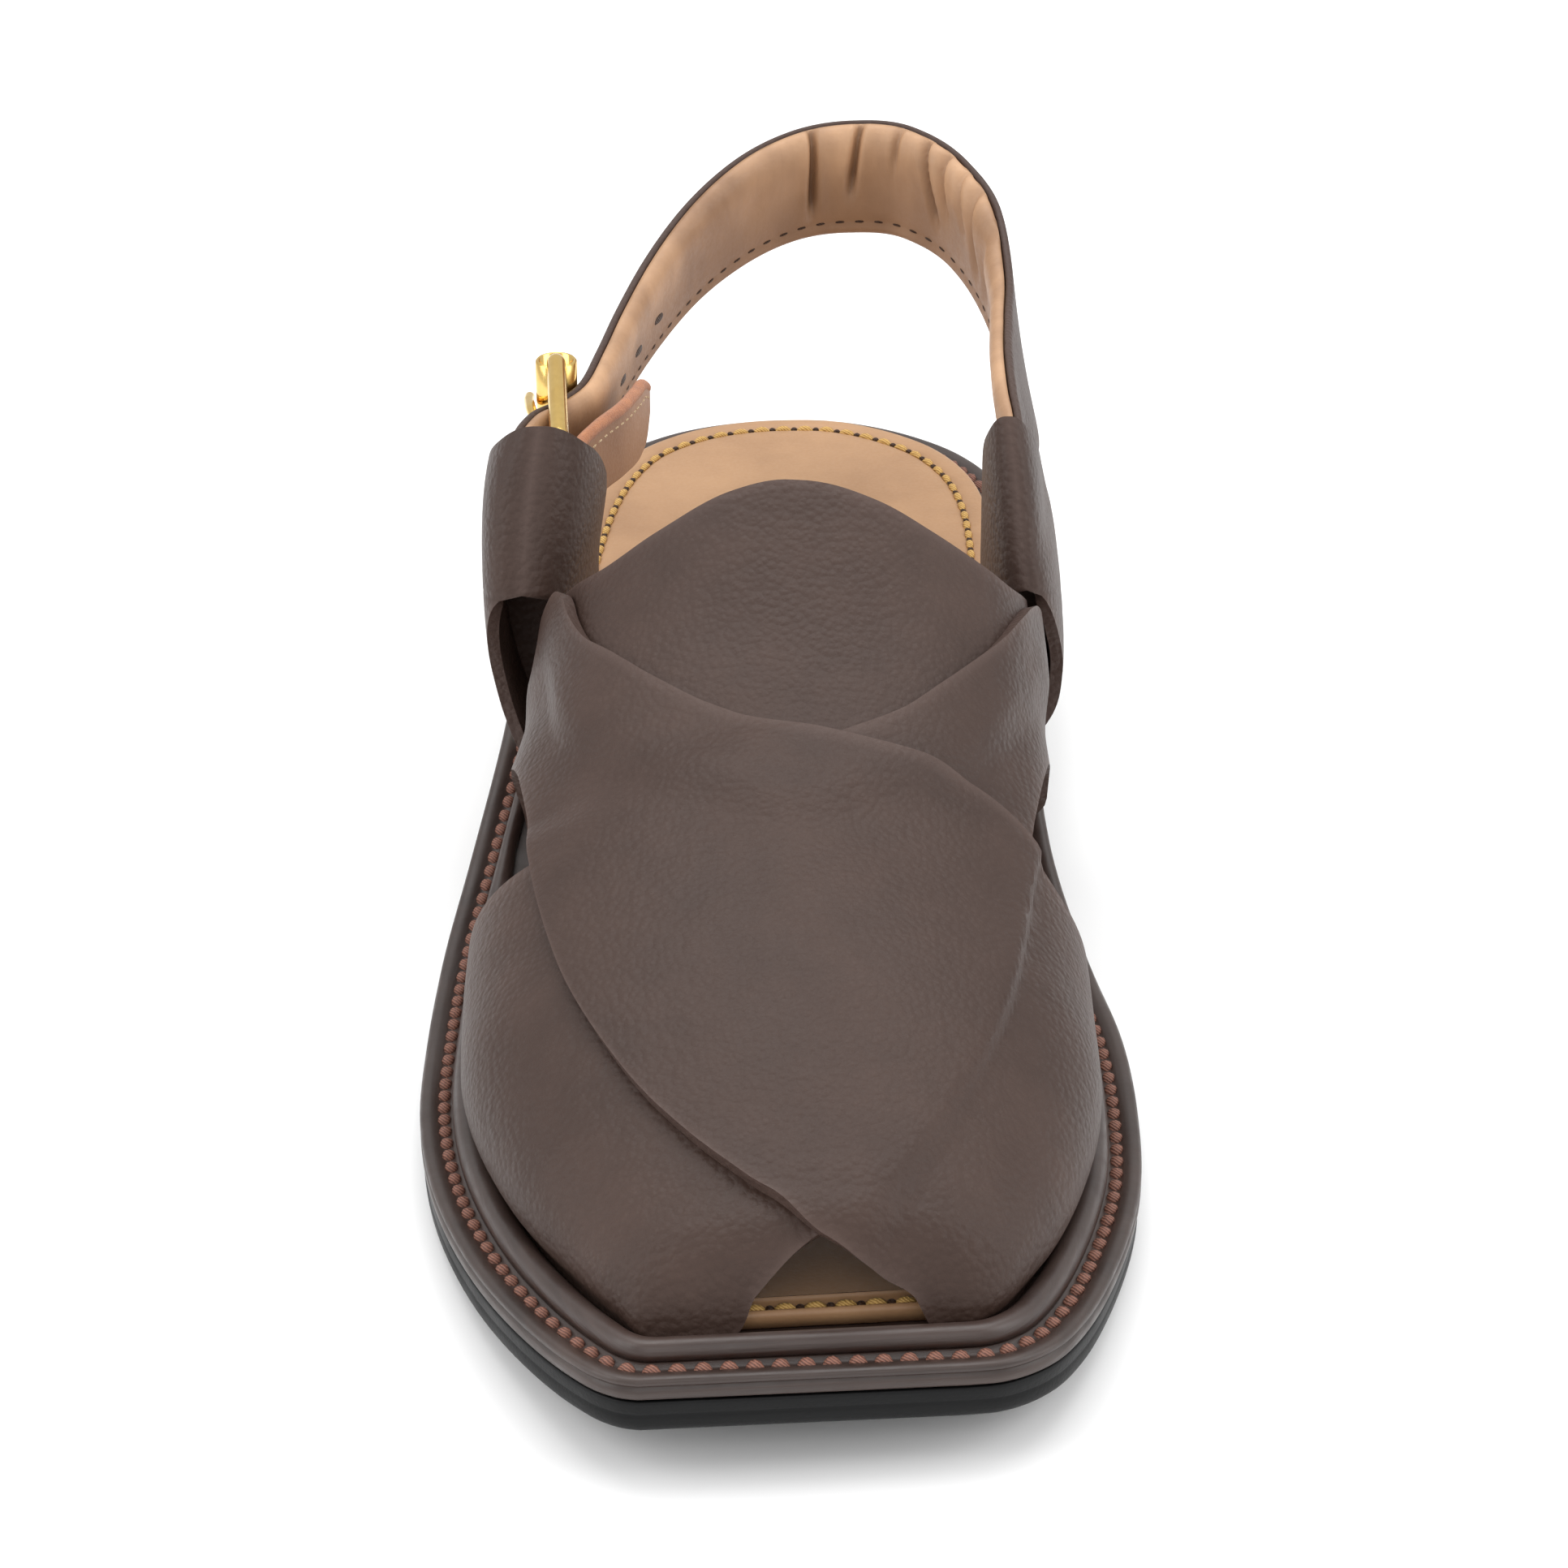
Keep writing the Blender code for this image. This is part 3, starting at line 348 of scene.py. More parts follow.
# Soft folds of the straps. Columns: across and along at one end, across and along at the
# other end, half width and fall in metres; a fall below zero is a ridge.
TOP_STRAP_FOLDS = (
    (0.20, 0.485, 0.29, 0.600, 0.0035, 0.0007),
    (0.24, 0.560, 0.33, 0.690, 0.0040, 0.0004),
    (0.56, 0.700, 0.76, 0.740, 0.0100, 0.0005),
    (0.47, 0.700, 0.62, 0.850, 0.0120, -0.0005),
)
LOWER_STRAP_FOLDS = (
    (0.80, 0.480, 0.71, 0.600, 0.0035, 0.0006),
    (0.77, 0.545, 0.68, 0.680, 0.0040, 0.0004),
    (0.22, 0.745, 0.40, 0.720, 0.0090, 0.0005),
)
TONGUE_FOLDS = (
    (0.33, 0.515, 0.50, 0.600, 0.0080, 0.0004),
    (0.66, 0.515, 0.52, 0.610, 0.0080, 0.0004),
)

# Wrinkles of the back strap's lining. Columns: share of the strap's length from the medial
# end, half width and depth in metres, slant (metres along for each metre down), and how far
# down it goes (share of the height).
LINING_WRINKLES = (
    (0.300, 0.0026, 0.0010, 0.20, 0.90),
    (0.345, 0.0018, 0.0014, -0.25, 0.80),
    (0.368, 0.0012, 0.0012, -0.35, 0.55),
    (0.392, 0.0011, 0.0018, -0.20, 0.60),
    (0.415, 0.0010, 0.0024, -0.30, 0.75),
    (0.440, 0.0009, 0.0014, 0.05, 0.45),
    (0.475, 0.0009, 0.0026, 0.15, 0.70),
    (0.515, 0.0009, 0.0026, 0.00, 0.85),
    (0.560, 0.0030, 0.0006, 0.30, 0.70),
)

# Stitches. Columns: pitch, length, width and height in metres
WELT_STITCH = (0.0034, 0.0026, 0.0019, 0.0014)
INSOLE_STITCH = (0.0041, 0.0033, 0.0013, 0.0012)
# The dark marks at the insole's needle holes are painted shade.
INSOLE_HOLE_SHADE = (0.0041, 0.0012, 0.0010, 0.0004)
LINING_STITCH = (0.0036, 0.0022, 0.0005, 0.0004)
FLAP_STITCH = (0.0024, 0.0018, 0.0004, 0.0004)
WELT_STITCH_INSET = 0.0036
# Stitches of the insole. Columns: along, inset from the insole's edge in metres
INSOLE_STITCH_LINE = ((0.84, 0.0045), (0.93, 0.0018))

# Camera, matching the photograph's square frame
CAMERA_DISTANCE = 0.620
CAMERA_AIM = Vector((0.001, -0.0265, 0.04))
CAMERA_ELEVATION = 28.5
CAMERA_LENS = 93.2
SENSOR = 36.0


def smooth(at, stations, values):
    """Cubic curve through a table's rows, each row's slope set by its two neighbours."""
    stations = np.asarray(stations, float)
    values = np.asarray(values, float).reshape(len(stations), -1)
    step = np.diff(stations)[:, None]
    rate = np.diff(values, axis=0) / step
    inner = (rate[:-1] * step[1:] + rate[1:] * step[:-1]) / (step[1:] + step[:-1])
    slope = np.vstack((rate[:1], inner, rate[-1:]))
    at = np.clip(np.atleast_1d(at), stations[0], stations[-1])
    row = np.clip(np.searchsorted(stations, at, side="right") - 1, 0, len(step) - 1)
    part = ((at - stations[row]) / step[row, 0])[:, None]
    turn = part * part * (3.0 - 2.0 * part)
    lean = part * (1.0 - part) * step[row]
    bend = (1.0 - part) * slope[row] - part * slope[row + 1]
    return values[row] * (1.0 - turn) + values[row + 1] * turn + lean * bend


def smooth_table(table, at):
    """The columns after the first of a table, at places along the first."""
    return smooth(np.ravel(at), column(table, 0), [row[1:] for row in table]).T


def column(table, index):
    return [row[index] for row in table]


def spread_rows(values, steps):
    """The values with more between them, evenly, by row."""
    rows = np.arange(len(values))
    return np.interp(np.arange((len(values) - 1) * steps + 1) / steps, rows, values)


def ease(part):
    """0 to 1 with a soft start and end."""
    part = np.clip(part, 0.0, 1.0)
    return part * part * (3.0 - 2.0 * part)


def to_y(along):
    return SOLE_LENGTH * (0.5 - np.asarray(along))


def to_along(y):
    return 0.5 - np.asarray(y) / SOLE_LENGTH


def read_line(table, index, along):
    return np.interp(along, column(table, 0), column(table, index))


def unit(vectors):
    return vectors / np.linalg.norm(vectors, axis=-1, keepdims=True)


class Outline:
    """The welt edge as a closed curve, and the same curve moved inwards."""

    def __init__(self):
        lateral = [(-row[1] * BALL_WIDTH, to_y(row[0])) for row in WELT_EDGE]
        medial = [(row[3] * BALL_WIDTH, to_y(row[2])) for row in WELT_EDGE]
        loop = np.array(lateral + medial[:0:-1])
        self.rows = len(WELT_EDGE)
        closed = np.vstack((loop[-3:], loop, loop[:4]))
        chord = np.sqrt(np.linalg.norm(np.diff(closed, axis=0), axis=1))
        place = np.concatenate(([0.0], np.cumsum(chord)))
        self.place = place - place[3]
        self.knots = closed
        self.dense_place = np.linspace(self.place[0], self.place[-1], 3000)
        self.dense = smooth(self.dense_place, self.place, closed)
        length = np.linalg.norm(np.diff(self.dense, axis=0), axis=1)
        self.arc = np.concatenate(([0.0], np.cumsum(length)))

    def point(self, arc):
        x = np.interp(arc, self.arc, self.dense[:, 0])
        y = np.interp(arc, self.arc, self.dense[:, 1])
        return np.stack((x, y), axis=-1)

    def inward(self, arc):
        """Direction into the shoe, averaged over a short stretch so that corners stay open."""
        ahead = unit(self.point(arc + NORMAL_REACH) - self.point(arc - NORMAL_REACH))
        return np.stack((-ahead[..., 1], ahead[..., 0]), axis=-1)

    def sides(self, steps):
        """Arc lengths of both sides at matching places from the heel to the toe."""
        share = np.arange((self.rows - 1) * steps + 1) / steps
        knot = np.arange(len(self.place)) - 3
        lateral = np.interp(share, knot, self.place)
        medial = np.interp(len(self.knots) - 7 - share, knot, self.place)
        return [np.interp(side, self.dense_place, self.arc) for side in (lateral, medial)]

    def edges(self, inset, steps=OUTLINE_STEPS):
        """Both sides, moved inwards by inset, which may vary with the place along."""
        found = []
        for arc in self.sides(steps):
            edge = self.point(arc)
            depth = inset(to_along(edge[:, 1])) if callable(inset) else inset
            found.append(edge + self.inward(arc) * np.reshape(depth, (-1, 1)))
        return found

    def loop(self, inset):
        """Up the lateral side to the toe, and back down the medial side."""
        lateral, medial = self.edges(inset)
        return np.vstack((lateral, medial[:0:-1]))


OUTLINE = Outline()


def ground_line(y):
    """Height of the outsole's underside."""
    along = to_along(y)
    spring, lift = smooth_table(SOLE_LINE, along)
    height = np.maximum(spring, 0.0) * TOE_SPRING + np.clip(lift, 0.0, 1.0) * HEEL_LIFT
    return height.reshape(np.shape(along))


def midsole_bottom(y):
    return ground_line(y) + OUTSOLE_THICKNESS + GAP


def midsole_top(y):
    return midsole_bottom(y) + MIDSOLE_THICKNESS


def insole_bottom(y):
    return midsole_top(y) + GAP


def insole_top(y):
    return insole_bottom(y) + INSOLE_THICKNESS


def rand_inner_inset(along):
    return WELT_LEDGE + RAND_WIDTH * read_line(BORDER, 1, along)


def ear_inset(along):
    """Outer face of an ear's foot, just inside the rand."""
    return rand_inner_inset(along) + GAP


def last_inset(along):
    room = (EAR_LEATHER + 2 * GAP) * read_line(BORDER, 2, along)
    return rand_inner_inset(along) + GAP + room + LEATHER


def insole_inset(along):
    seat = read_line(BORDER, 3, along)
    return (last_inset(along) + 3 * GAP) * (1.0 - seat) + HEEL_BORDER * seat


class Last:
    """Inside of the vamp: upright sections that stand on rungs across the midsole."""

    def __init__(self):
        self.lateral, self.medial = OUTLINE.edges(last_inset, steps=4)
        self.rungs = to_along((self.lateral[:, 1] + self.medial[:, 1]) / 2)
        self.stretch = self.rungs[-1] / LAST[-1][0]

    def foot(self, side, along):
        x = np.interp(along, self.rungs, side[:, 0])
        y = np.interp(along, self.rungs, side[:, 1])
        return np.stack((x, y), axis=-1)

    def surface(self, across, along):
        """Point at a share of the girth, 0 lateral to 1 medial, on the section at along."""
        across, along = np.broadcast_arrays(np.asarray(across, float), along)
        shape = across.shape
        u, s = across.ravel(), along.ravel()
        height, ridge, *sides = smooth_table(LAST, s)
        height = height * INSTEP_HEIGHT
        start = self.foot(self.lateral, s * self.stretch)
        rung = self.foot(self.medial, s * self.stretch) - start
        width = np.linalg.norm(rung, axis=1)
        is_medial = u > 0.5
        near = np.where(is_medial, 1.0 - u, u) * 2.0
        belly = np.where(is_medial, sides[1], sides[0]) * BALL_WIDTH / width
        square = np.where(is_medial, sides[3], sides[2])
        reach = np.where(is_medial, 1.0 - ridge, ridge) + belly
        low = np.clip(near / (2 * BELLY_SHARE), 0.0, 1.0)
        turn = np.clip((near - 2 * BELLY_SHARE) / (1 - 2 * BELLY_SHARE), 0.0, 1.0) * math.pi / 2
        tuck = belly * (1 - low ** 3 * (4 - 3 * low))
        out = reach * np.cos(turn) ** (2 / square) - tuck
        rise = BELLY_HEIGHT * low + (1 - BELLY_HEIGHT) * np.sin(turn) ** (2 / square)
        place = np.where(is_medial, ridge + out, ridge - out)
        plan = start + rung * place[:, None]
        base = midsole_top(plan[:, 1]) + GAP
        return np.column_stack((plan, base + height * rise)).reshape(*shape, 3)

    def normal(self, across, along):
        """Outward direction, from small steps over the surface."""
        step = 0.004
        u0, u1 = np.clip(across - step, 0, 1), np.clip(across + step, 0, 1)
        s0, s1 = along - step, np.minimum(along + step, LAST[-1][0])
        over = self.surface(u1, along) - self.surface(u0, along)
        ahead = self.surface(across, s1) - self.surface(across, s0)
        return unit(np.cross(ahead, over))


# Meshes


def mesh_from(name, points, faces, **values):
    """A welded mesh with its normals outward, and named values at its points."""
    mesh = bpy.data.meshes.new(name)
    mesh.from_pydata(np.asarray(points).tolist(), [], faces)
    for key, value in values.items():
        layer = mesh.attributes.new(key, "FLOAT", "POINT")
        layer.data.foreach_set("value", np.ravel(value).astype(np.float32))
    shape = bmesh.new()
    shape.from_mesh(mesh)
    bmesh.ops.remove_doubles(shape, verts=shape.verts, dist=WELD)
    bmesh.ops.recalc_face_normals(shape, faces=shape.faces)
    shape.to_mesh(mesh)
    shape.free()
    return mesh


def grid_faces(rows, count, start=0, closed=False):
    """Quads over a grid of points, its columns joined into loops where closed."""
    faces = []
    for i in range(rows - 1):
        for j in range(count if closed else count - 1):
            a = start + i * count + j
            b = start + i * count + (j + 1) % count
            faces.append((a, b, b + count, a + count))
    return faces


def layer_mesh(name, rings):
    """A solid between loops round the shoe, its first and last loop closed by rungs."""
    count = len(rings[0])
    faces = grid_faces(len(rings), count, closed=True)
    for start in (0, (len(rings) - 1) * count):
        faces.append((start, start + 1, start + count - 1))
        for i in range(1, count // 2):
            faces.append((start + i, start + i + 1, start + count - i - 1, start + count - i))
    return mesh_from(name, np.vstack(rings), faces)


def sweep_mesh(name, sections, **values):
    """A bar through closed sections of equal size, with flat ends."""
    sections = np.asarray(sections)
    rows, count = sections.shape[:2]
    faces = grid_faces(rows, count, closed=True)
    faces.append(tuple(range(count)))
    faces.append(tuple(range((rows - 1) * count, rows * count)))
    return mesh_from(name, sections.reshape(-1, 3), faces, **values)


def sheet_mesh(name, inner, outer, **values):
    """A solid sheet between two grids of points. Each value has one grid for both."""
    rows, count = inner.shape[:2]
    index = np.arange(rows * count).reshape(rows, count)
    rim = np.concatenate((index[0, :-1], index[:-1, -1], index[-1, :0:-1], index[:0:-1, 0]))
    rim = rim.tolist()
    far = rows * count
    faces = grid_faces(rows, count) + grid_faces(rows, count, start=far)
    for first, second in zip(rim, rim[1:] + rim[:1]):
        faces.append((second, first, first + far, second + far))
    points = np.vstack((inner.reshape(-1, 3), outer.reshape(-1, 3)))
    both = {key: np.concatenate((np.ravel(value), np.ravel(value))) for key, value in values.items()}
    return mesh_from(name, points, faces, **both)


def add_piece(name, mesh, material, stands_for=()):
    mesh.materials.append(material)
    mesh.shade_smooth()
    piece = bpy.data.objects.new(name, mesh)
    bpy.context.scene.collection.objects.link(piece)
    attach(piece, "root")
    if stands_for:
        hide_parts(*stands_for)
    return piece


def round_edges(piece, width, segments=3, angle=40.0):
    bevel = piece.modifiers.new("round", "BEVEL")
    bevel.width = width
    bevel.segments = segments
    bevel.angle_limit = math.radians(angle)
    normals = piece.modifiers.new("shading", "WEIGHTED_NORMAL")
    normals.keep_sharp = True


def wire_mesh(name, points, diameter, closed=False, sides=12):
    """A round wire through points, with round ends where it is open."""
    points = np.asarray(points)
    if closed:
        ahead = unit(np.roll(points, -1, axis=0) - np.roll(points, 1, axis=0))
    else:
        ahead = unit(np.gradient(points, axis=0))
    first = unit(np.cross(ahead, np.roll(ahead, 1, axis=1) + (0.0, 0.3, 0.1)))
    side = np.empty_like(first)
    side[0] = first[0]
    for i in range(1, len(points)):
        side[i] = unit(side[i - 1] - ahead[i] * (side[i - 1] @ ahead[i]))
    up = np.cross(ahead, side)
    turn = np.linspace(0, 2 * math.pi, sides, endpoint=False)
    round_ = side[:, None] * np.cos(turn)[:, None] + up[:, None] * np.sin(turn)[:, None]
    radius = diameter / 2
    sections = points[:, None] + round_ * radius
    if closed:
        faces = grid_faces(len(points), sides, closed=True)
        last = (len(points) - 1) * sides
        shift = int(np.argmin(np.linalg.norm(sections[0] - sections[-1, 0], axis=1)))
        for j in range(sides):
            k = (j + 1) % sides
            faces.append((last + j, last + k, (k + shift) % sides, (j + shift) % sides))
        return mesh_from(name, sections.reshape(-1, 3), faces)
    caps = []
    for end, way in ((0, -1), (-1, 1)):
        cap = []
        for rise in (0.5, 0.85, 0.97):
            centre = points[end] + way * ahead[end] * radius * rise
            cap.append(centre + round_[end] * radius * math.sqrt(1 - rise * rise))
        caps.append(cap if end else cap[::-1])
    return sweep_mesh(name, np.concatenate((caps[0], sections, caps[1])))


def rounded_loop(corners, radius, steps=8):
    """A closed path through four corners with round bends."""
    corners = [np.array(corner) for corner in corners]
    points = []
    for i, corner in enumerate(corners):
        start = corner + unit(corners[i - 1] - corner) * radius
        stop = corner + unit(corners[(i + 1) % len(corners)] - corner) * radius
        for t in np.linspace(0, 1, steps + 1):
            points.append((1 - t) ** 2 * start + 2 * t * (1 - t) * corner + t * t * stop)
    return points


def stitch_mesh(name, path, up, stitch, closed=False, slant=0.0, shift=0.0):
    """A row of stitches along a path: small rounded strands whose ends sink into the leather."""
    pitch, length, width, height = stitch
    path, up = np.asarray(path, float), np.asarray(up, float)
    if closed:
        path, up = np.vstack((path, path[:1])), np.vstack((up, up[:1]))
    arc = np.concatenate(([0.0], np.cumsum(np.linalg.norm(np.diff(path, axis=0), axis=1))))
    count = max(int(round(arc[-1] / pitch)), 1)
    shares = (-1.0, -0.86, -0.5, 0.0, 0.5, 0.86, 1.0)
    sides = 8
    turn = np.linspace(0, 2 * math.pi, sides, endpoint=False)
    points, faces = [], []
    for k in range(count):
        middle = (k + 0.5 + shift) * arc[-1] / count
        place = np.array([np.interp(middle, arc, path[:, i]) for i in range(3)])
        fore = np.array([np.interp(middle + pitch / 4, arc, path[:, i]) for i in range(3)])
        aft = np.array([np.interp(middle - pitch / 4, arc, path[:, i]) for i in range(3)])
        rise = unit(np.array([np.interp(middle, arc, up[:, i]) for i in range(3)]))
        ahead = unit(fore - aft)
        side = unit(np.cross(ahead, rise))
        ahead = unit(ahead + side * slant)
        side = unit(np.cross(ahead, rise))
        start = len(points)
        for share in shares:
            size = math.sqrt(max(1 - share ** 4, 0.06))
            centre = place + ahead * share * length / 2 - rise * share ** 2 * height * 0.55
            for angle in turn:
                points.append(
                    centre
                    + side * math.cos(angle) * size * width / 2
                    + rise * math.sin(angle) * size * height / 2
                )
        faces += grid_faces(len(shares), sides, start, closed=True)
        last = start + (len(shares) - 1) * sides
        faces.append(tuple(range(start, start + sides)))
        faces.append(tuple(range(last, last + sides)))
    return mesh_from(name, points, faces)


# Materials


def new_material(name, roughness, metallic=0.0, coat=0.0, coat_roughness=0.3, specular=0.5):
    material = bpy.data.materials.new(name)
    material.use_nodes = True
    shader = material.node_tree.nodes["Principled BSDF"]
    shader.inputs["Roughness"].default_value = roughness
    shader.inputs["Metallic"].default_value = metallic
    shader.inputs["Specular IOR Level"].default_value = specular
    shader.inputs["Coat Weight"].default_value = coat
    shader.inputs["Coat Roughness"].default_value = coat_roughness
    return material


class Paint:
    """Short calls for the nodes of one material."""

    def __init__(self, material):
        self.tree = material.node_tree
        self.shader = self.tree.nodes["Principled BSDF"]
        self.place = self.node("ShaderNodeTexCoord").outputs["Object"]

    def node(self, kind, inputs=(), **settings):
        node = self.tree.nodes.new(kind)
        for key, value in settings.items():
            setattr(node, key, value)
        for key, value in dict(inputs).items():
            self.put(node.inputs[key], value)
        return node

    def put(self, socket, value):
        if isinstance(value, bpy.types.NodeSocket):
            self.tree.links.new(value, socket)
        else:
            socket.default_value = value

    def noise(self, scale, detail=3.0, roughness=0.55, place=None):
        inputs = {"Scale": scale, "Detail": detail, "Roughness": roughness}
        inputs["Vector"] = place or self.place
        return self.node("ShaderNodeTexNoise", inputs).outputs["Fac"]

    def cells(self, scale, smoothness=0.4):
        inputs = {"Scale": scale, "Smoothness": smoothness, "Vector": self.place}
        return self.node("ShaderNodeTexVoronoi", inputs, feature="SMOOTH_F1").outputs["Distance"]

    def stretched(self, x, y, z):
        inputs = {"Vector": self.place, "Scale": (x, y, z)}
        return self.node("ShaderNodeMapping", inputs).outputs["Vector"]

    def value(self, name):
        node = self.node("ShaderNodeAttribute", attribute_name=name)
        return node.outputs["Fac"]

    def math(self, operation, first, second=0.0):
        return self.node("ShaderNodeMath", {0: first, 1: second}, operation=operation).outputs[0]

    def span(self, value, low, high, start=0.0, stop=1.0):
        """The value from low to high, moved to start to stop and kept inside them."""
        names = ("Value", "From Min", "From Max", "To Min", "To Max")
        inputs = dict(zip(names, (value, low, high, start, stop)))
        return self.node("ShaderNodeMapRange", inputs).outputs["Result"]

    def mix(self, share, first, second):
        node = self.node("ShaderNodeMix", data_type="RGBA")
        first = (*first, 1.0) if isinstance(first, tuple) else first
        second = (*second, 1.0) if isinstance(second, tuple) else second
        for socket, value in ((0, share), (6, first), (7, second)):
            self.put(node.inputs[socket], value)
        return node.outputs[2]

    def bump(self, height, distance, strength=1.0, under=None):
        inputs = {"Height": height, "Distance": distance, "Strength": strength}
        if under:
            inputs["Normal"] = under
        return self.node("ShaderNodeBump", inputs).outputs["Normal"]

    def finish(self, colour=None, roughness=None, normal=None):
        for key, value in (("Base Color", colour), ("Roughness", roughness), ("Normal", normal)):
            if value is not None:
                self.put(self.shader.inputs[key], value)


def brown_leather(name, dark, light, wear_and_highlight_colour, pebble, depth):
    """Matt pebbled leather, lighter and smoother at its edges: partly burnished wear, partly painted
    highlight.
    """
    material = new_material(name, 0.5, specular=0.28)
    paint = Paint(material)
    pebbles = paint.cells(1.0 / pebble)
    fine = paint.noise(2.6 / pebble, detail=2.0)
    broad = paint.noise(34.0, detail=4.0)
    patches = paint.noise(130.0, detail=3.0)
    tone = paint.span(paint.math("ADD", broad, paint.math("MULTIPLY", patches, 0.4)), 0.45, 0.95)
    colour = paint.mix(tone, dark, light)
    grain = paint.span(pebbles, 0.15, 0.65, 0.0, 0.22)
    colour = paint.mix(grain, colour, dark)
    # Lighter at the edges: partly burnished wear, partly painted highlight where the rims catch the light.
    colour = paint.mix(paint.math("MULTIPLY", paint.value("wear"), 0.55), colour, wear_and_highlight_colour)
    roughness = paint.span(paint.math("ADD", broad, fine), 0.6, 1.4, 0.42, 0.60)
    height = paint.math("SUBTRACT", paint.math("MULTIPLY", fine, 0.35), pebbles)
    soft = paint.bump(patches, 0.00025, 0.5)
    paint.finish(colour, roughness, paint.bump(height, depth, 0.8, soft))
    return material


def tan_leather(name, light, dark, grain, depth, roughness=0.5):
    """Smooth lining leather with fine grain, darker handled patches and painted shade from a value at its
    points.
    """
    material = new_material(name, roughness, coat=0.04, coat_roughness=0.5)
    paint = Paint(material)
    fine = paint.noise(1.0 / grain, detail=4.0)
    broad = paint.noise(28.0, detail=4.0)
    streaks = paint.noise(1.0, detail=3.0, place=paint.stretched(160.0, 160.0, 40.0))
    tone = paint.span(paint.math("ADD", broad, paint.math("MULTIPLY", streaks, 0.3)), 0.45, 0.9)
    colour = paint.mix(tone, light, dark)
    # Painted shade: the colour goes towards the dark one where the value at the points says so.
    colour = paint.mix(paint.math("MULTIPLY", paint.value("shade"), 0.8), colour, dark)
    rough = paint.span(fine, 0.3, 0.7, roughness - 0.07, roughness + 0.09)
    soft = paint.bump(broad, 0.0003, 0.4)
    paint.finish(colour, rough, paint.bump(fine, depth, 0.7, soft))
    return material


def edge_leather(name, dark, light):
    """Dyed and burnished edge, with fine lines along it."""
    material = new_material(name, 0.42, coat=0.15, coat_roughness=0.35)
    paint = Paint(material)
    lines = paint.noise(1.0, detail=4.0, place=paint.stretched(60.0, 60.0, 1400.0))
    spots = paint.noise(180.0, detail=3.0)
    broad = paint.noise(30.0, detail=2.0)
    colour = paint.mix(paint.span(paint.math("ADD", broad, lines), 0.7, 1.3), dark, light)
    height = paint.math("ADD", lines, paint.math("MULTIPLY", spots, 0.6))
    roughness = paint.span(spots, 0.3, 0.7, 0.34, 0.55)
    paint.finish(colour, roughness, paint.bump(height, 0.00016, 0.7))
    return material


def black_rubber(name):
    """Moulded rubber with a faint bloom and fine pores."""
    material = new_material(name, 0.5, specular=0.2)
    paint = Paint(material)
    pores = paint.noise(1600.0, detail=3.0)
    broad = paint.noise(40.0, detail=4.0)
    lines = paint.noise(1.0, detail=3.0, place=paint.stretched(80.0, 80.0, 900.0))
    bloom = paint.span(paint.math("ADD", broad, paint.math("MULTIPLY", lines, 0.5)), 0.5, 1.1)
    colour = paint.mix(bloom, (0.002, 0.0021, 0.0023), (0.006, 0.0062, 0.0065))
    height = paint.math("ADD", pores, lines)
    paint.finish(colour, paint.span(broad, 0.3, 0.7, 0.40, 0.58), paint.bump(height, 0.0001, 0.6))
    return material


def polished_brass(name):
    """Cast brass: warm colour, fine scratches and slightly clouded patches."""
    material = new_material(name, 0.22, metallic=1.0)
    paint = Paint(material)
    cloud = paint.noise(260.0, detail=4.0)
    scratches = paint.noise(1.0, detail=2.0, place=paint.stretched(3000.0, 900.0, 700.0))
    colour = paint.mix(paint.span(cloud, 0.35, 0.75), (0.84, 0.58, 0.20), (0.72, 0.47, 0.14))
    roughness = paint.span(paint.math("ADD", cloud, scratches), 0.7, 1.3, 0.12, 0.24)
    height = paint.math("ADD", scratches, paint.math("MULTIPLY", cloud, 0.8))
    paint.finish(colour, roughness, paint.bump(height, 0.00001, 0.5))
    return material


def waxed_thread(name, light, dark):
    """Twisted thread: fine strands at a slant, darker between them."""
    material = new_material(name, 0.5, specular=0.25)
    paint = Paint(material)
    inputs = {"Scale": 900.0, "Distortion": 3.0, "Detail": 2.0, "Vector": paint.place}
    twist = paint.node("ShaderNodeTexWave", inputs, bands_direction="DIAGONAL").outputs["Fac"]
    fibres = paint.noise(2400.0, detail=2.0)
    tone = paint.math("ADD", paint.math("MULTIPLY", twist, 0.6), paint.math("MULTIPLY", fibres, 0.5))
    colour = paint.mix(paint.span(tone, 0.2, 0.8), dark, light)
    paint.finish(colour, paint.span(fibres, 0.3, 0.7, 0.42, 0.62), paint.bump(tone, 0.00012, 0.9))
    return material


def suede(name, light, dark):
    """Raw cut edge with a short nap."""
    material = new_material(name, 0.9)
    material.node_tree.nodes["Principled BSDF"].inputs["Sheen Weight"].default_value = 0.3
    paint = Paint(material)
    nap = paint.noise(2600.0, detail=5.0, roughness=0.7)
    patches = paint.noise(420.0, detail=3.0)
    colour = paint.mix(paint.span(paint.math("ADD", nap, patches), 0.7, 1.3), dark, light)
    paint.finish(colour, None, paint.bump(nap, 0.0002, 0.9))
    return material


# Pieces of the sole


def ring(inset, height, drop=0.0):
    loop = OUTLINE.loop(inset)
    return np.column_stack((loop, height(loop[:, 1]) - drop))


def build_outsole(material):
    """Rubber sheet with a soft edge and one moulded line round it."""
    deep, thick = 0.0003, OUTSOLE_THICKNESS
    line = 0.0022
    profile = (
        (0.0016, thick), (0.0010, thick - 0.0002), (deep + 0.0002, thick - 0.0007),
        (deep, thick - 0.0013), (deep, line + 0.0003), (deep + 0.0002, line),
        (deep, line - 0.0003), (deep, 0.0005), (deep + 0.0001, 0.0001), (deep + 0.0004, 0.0),
        (0.0040, 0.0),
    )
    rings = [ring(inset, lambda y: ground_line(y) + thick, drop) for inset, drop in profile]
    add_piece("outsole_dressed", layer_mesh("outsole", rings), material, ["outsole"])


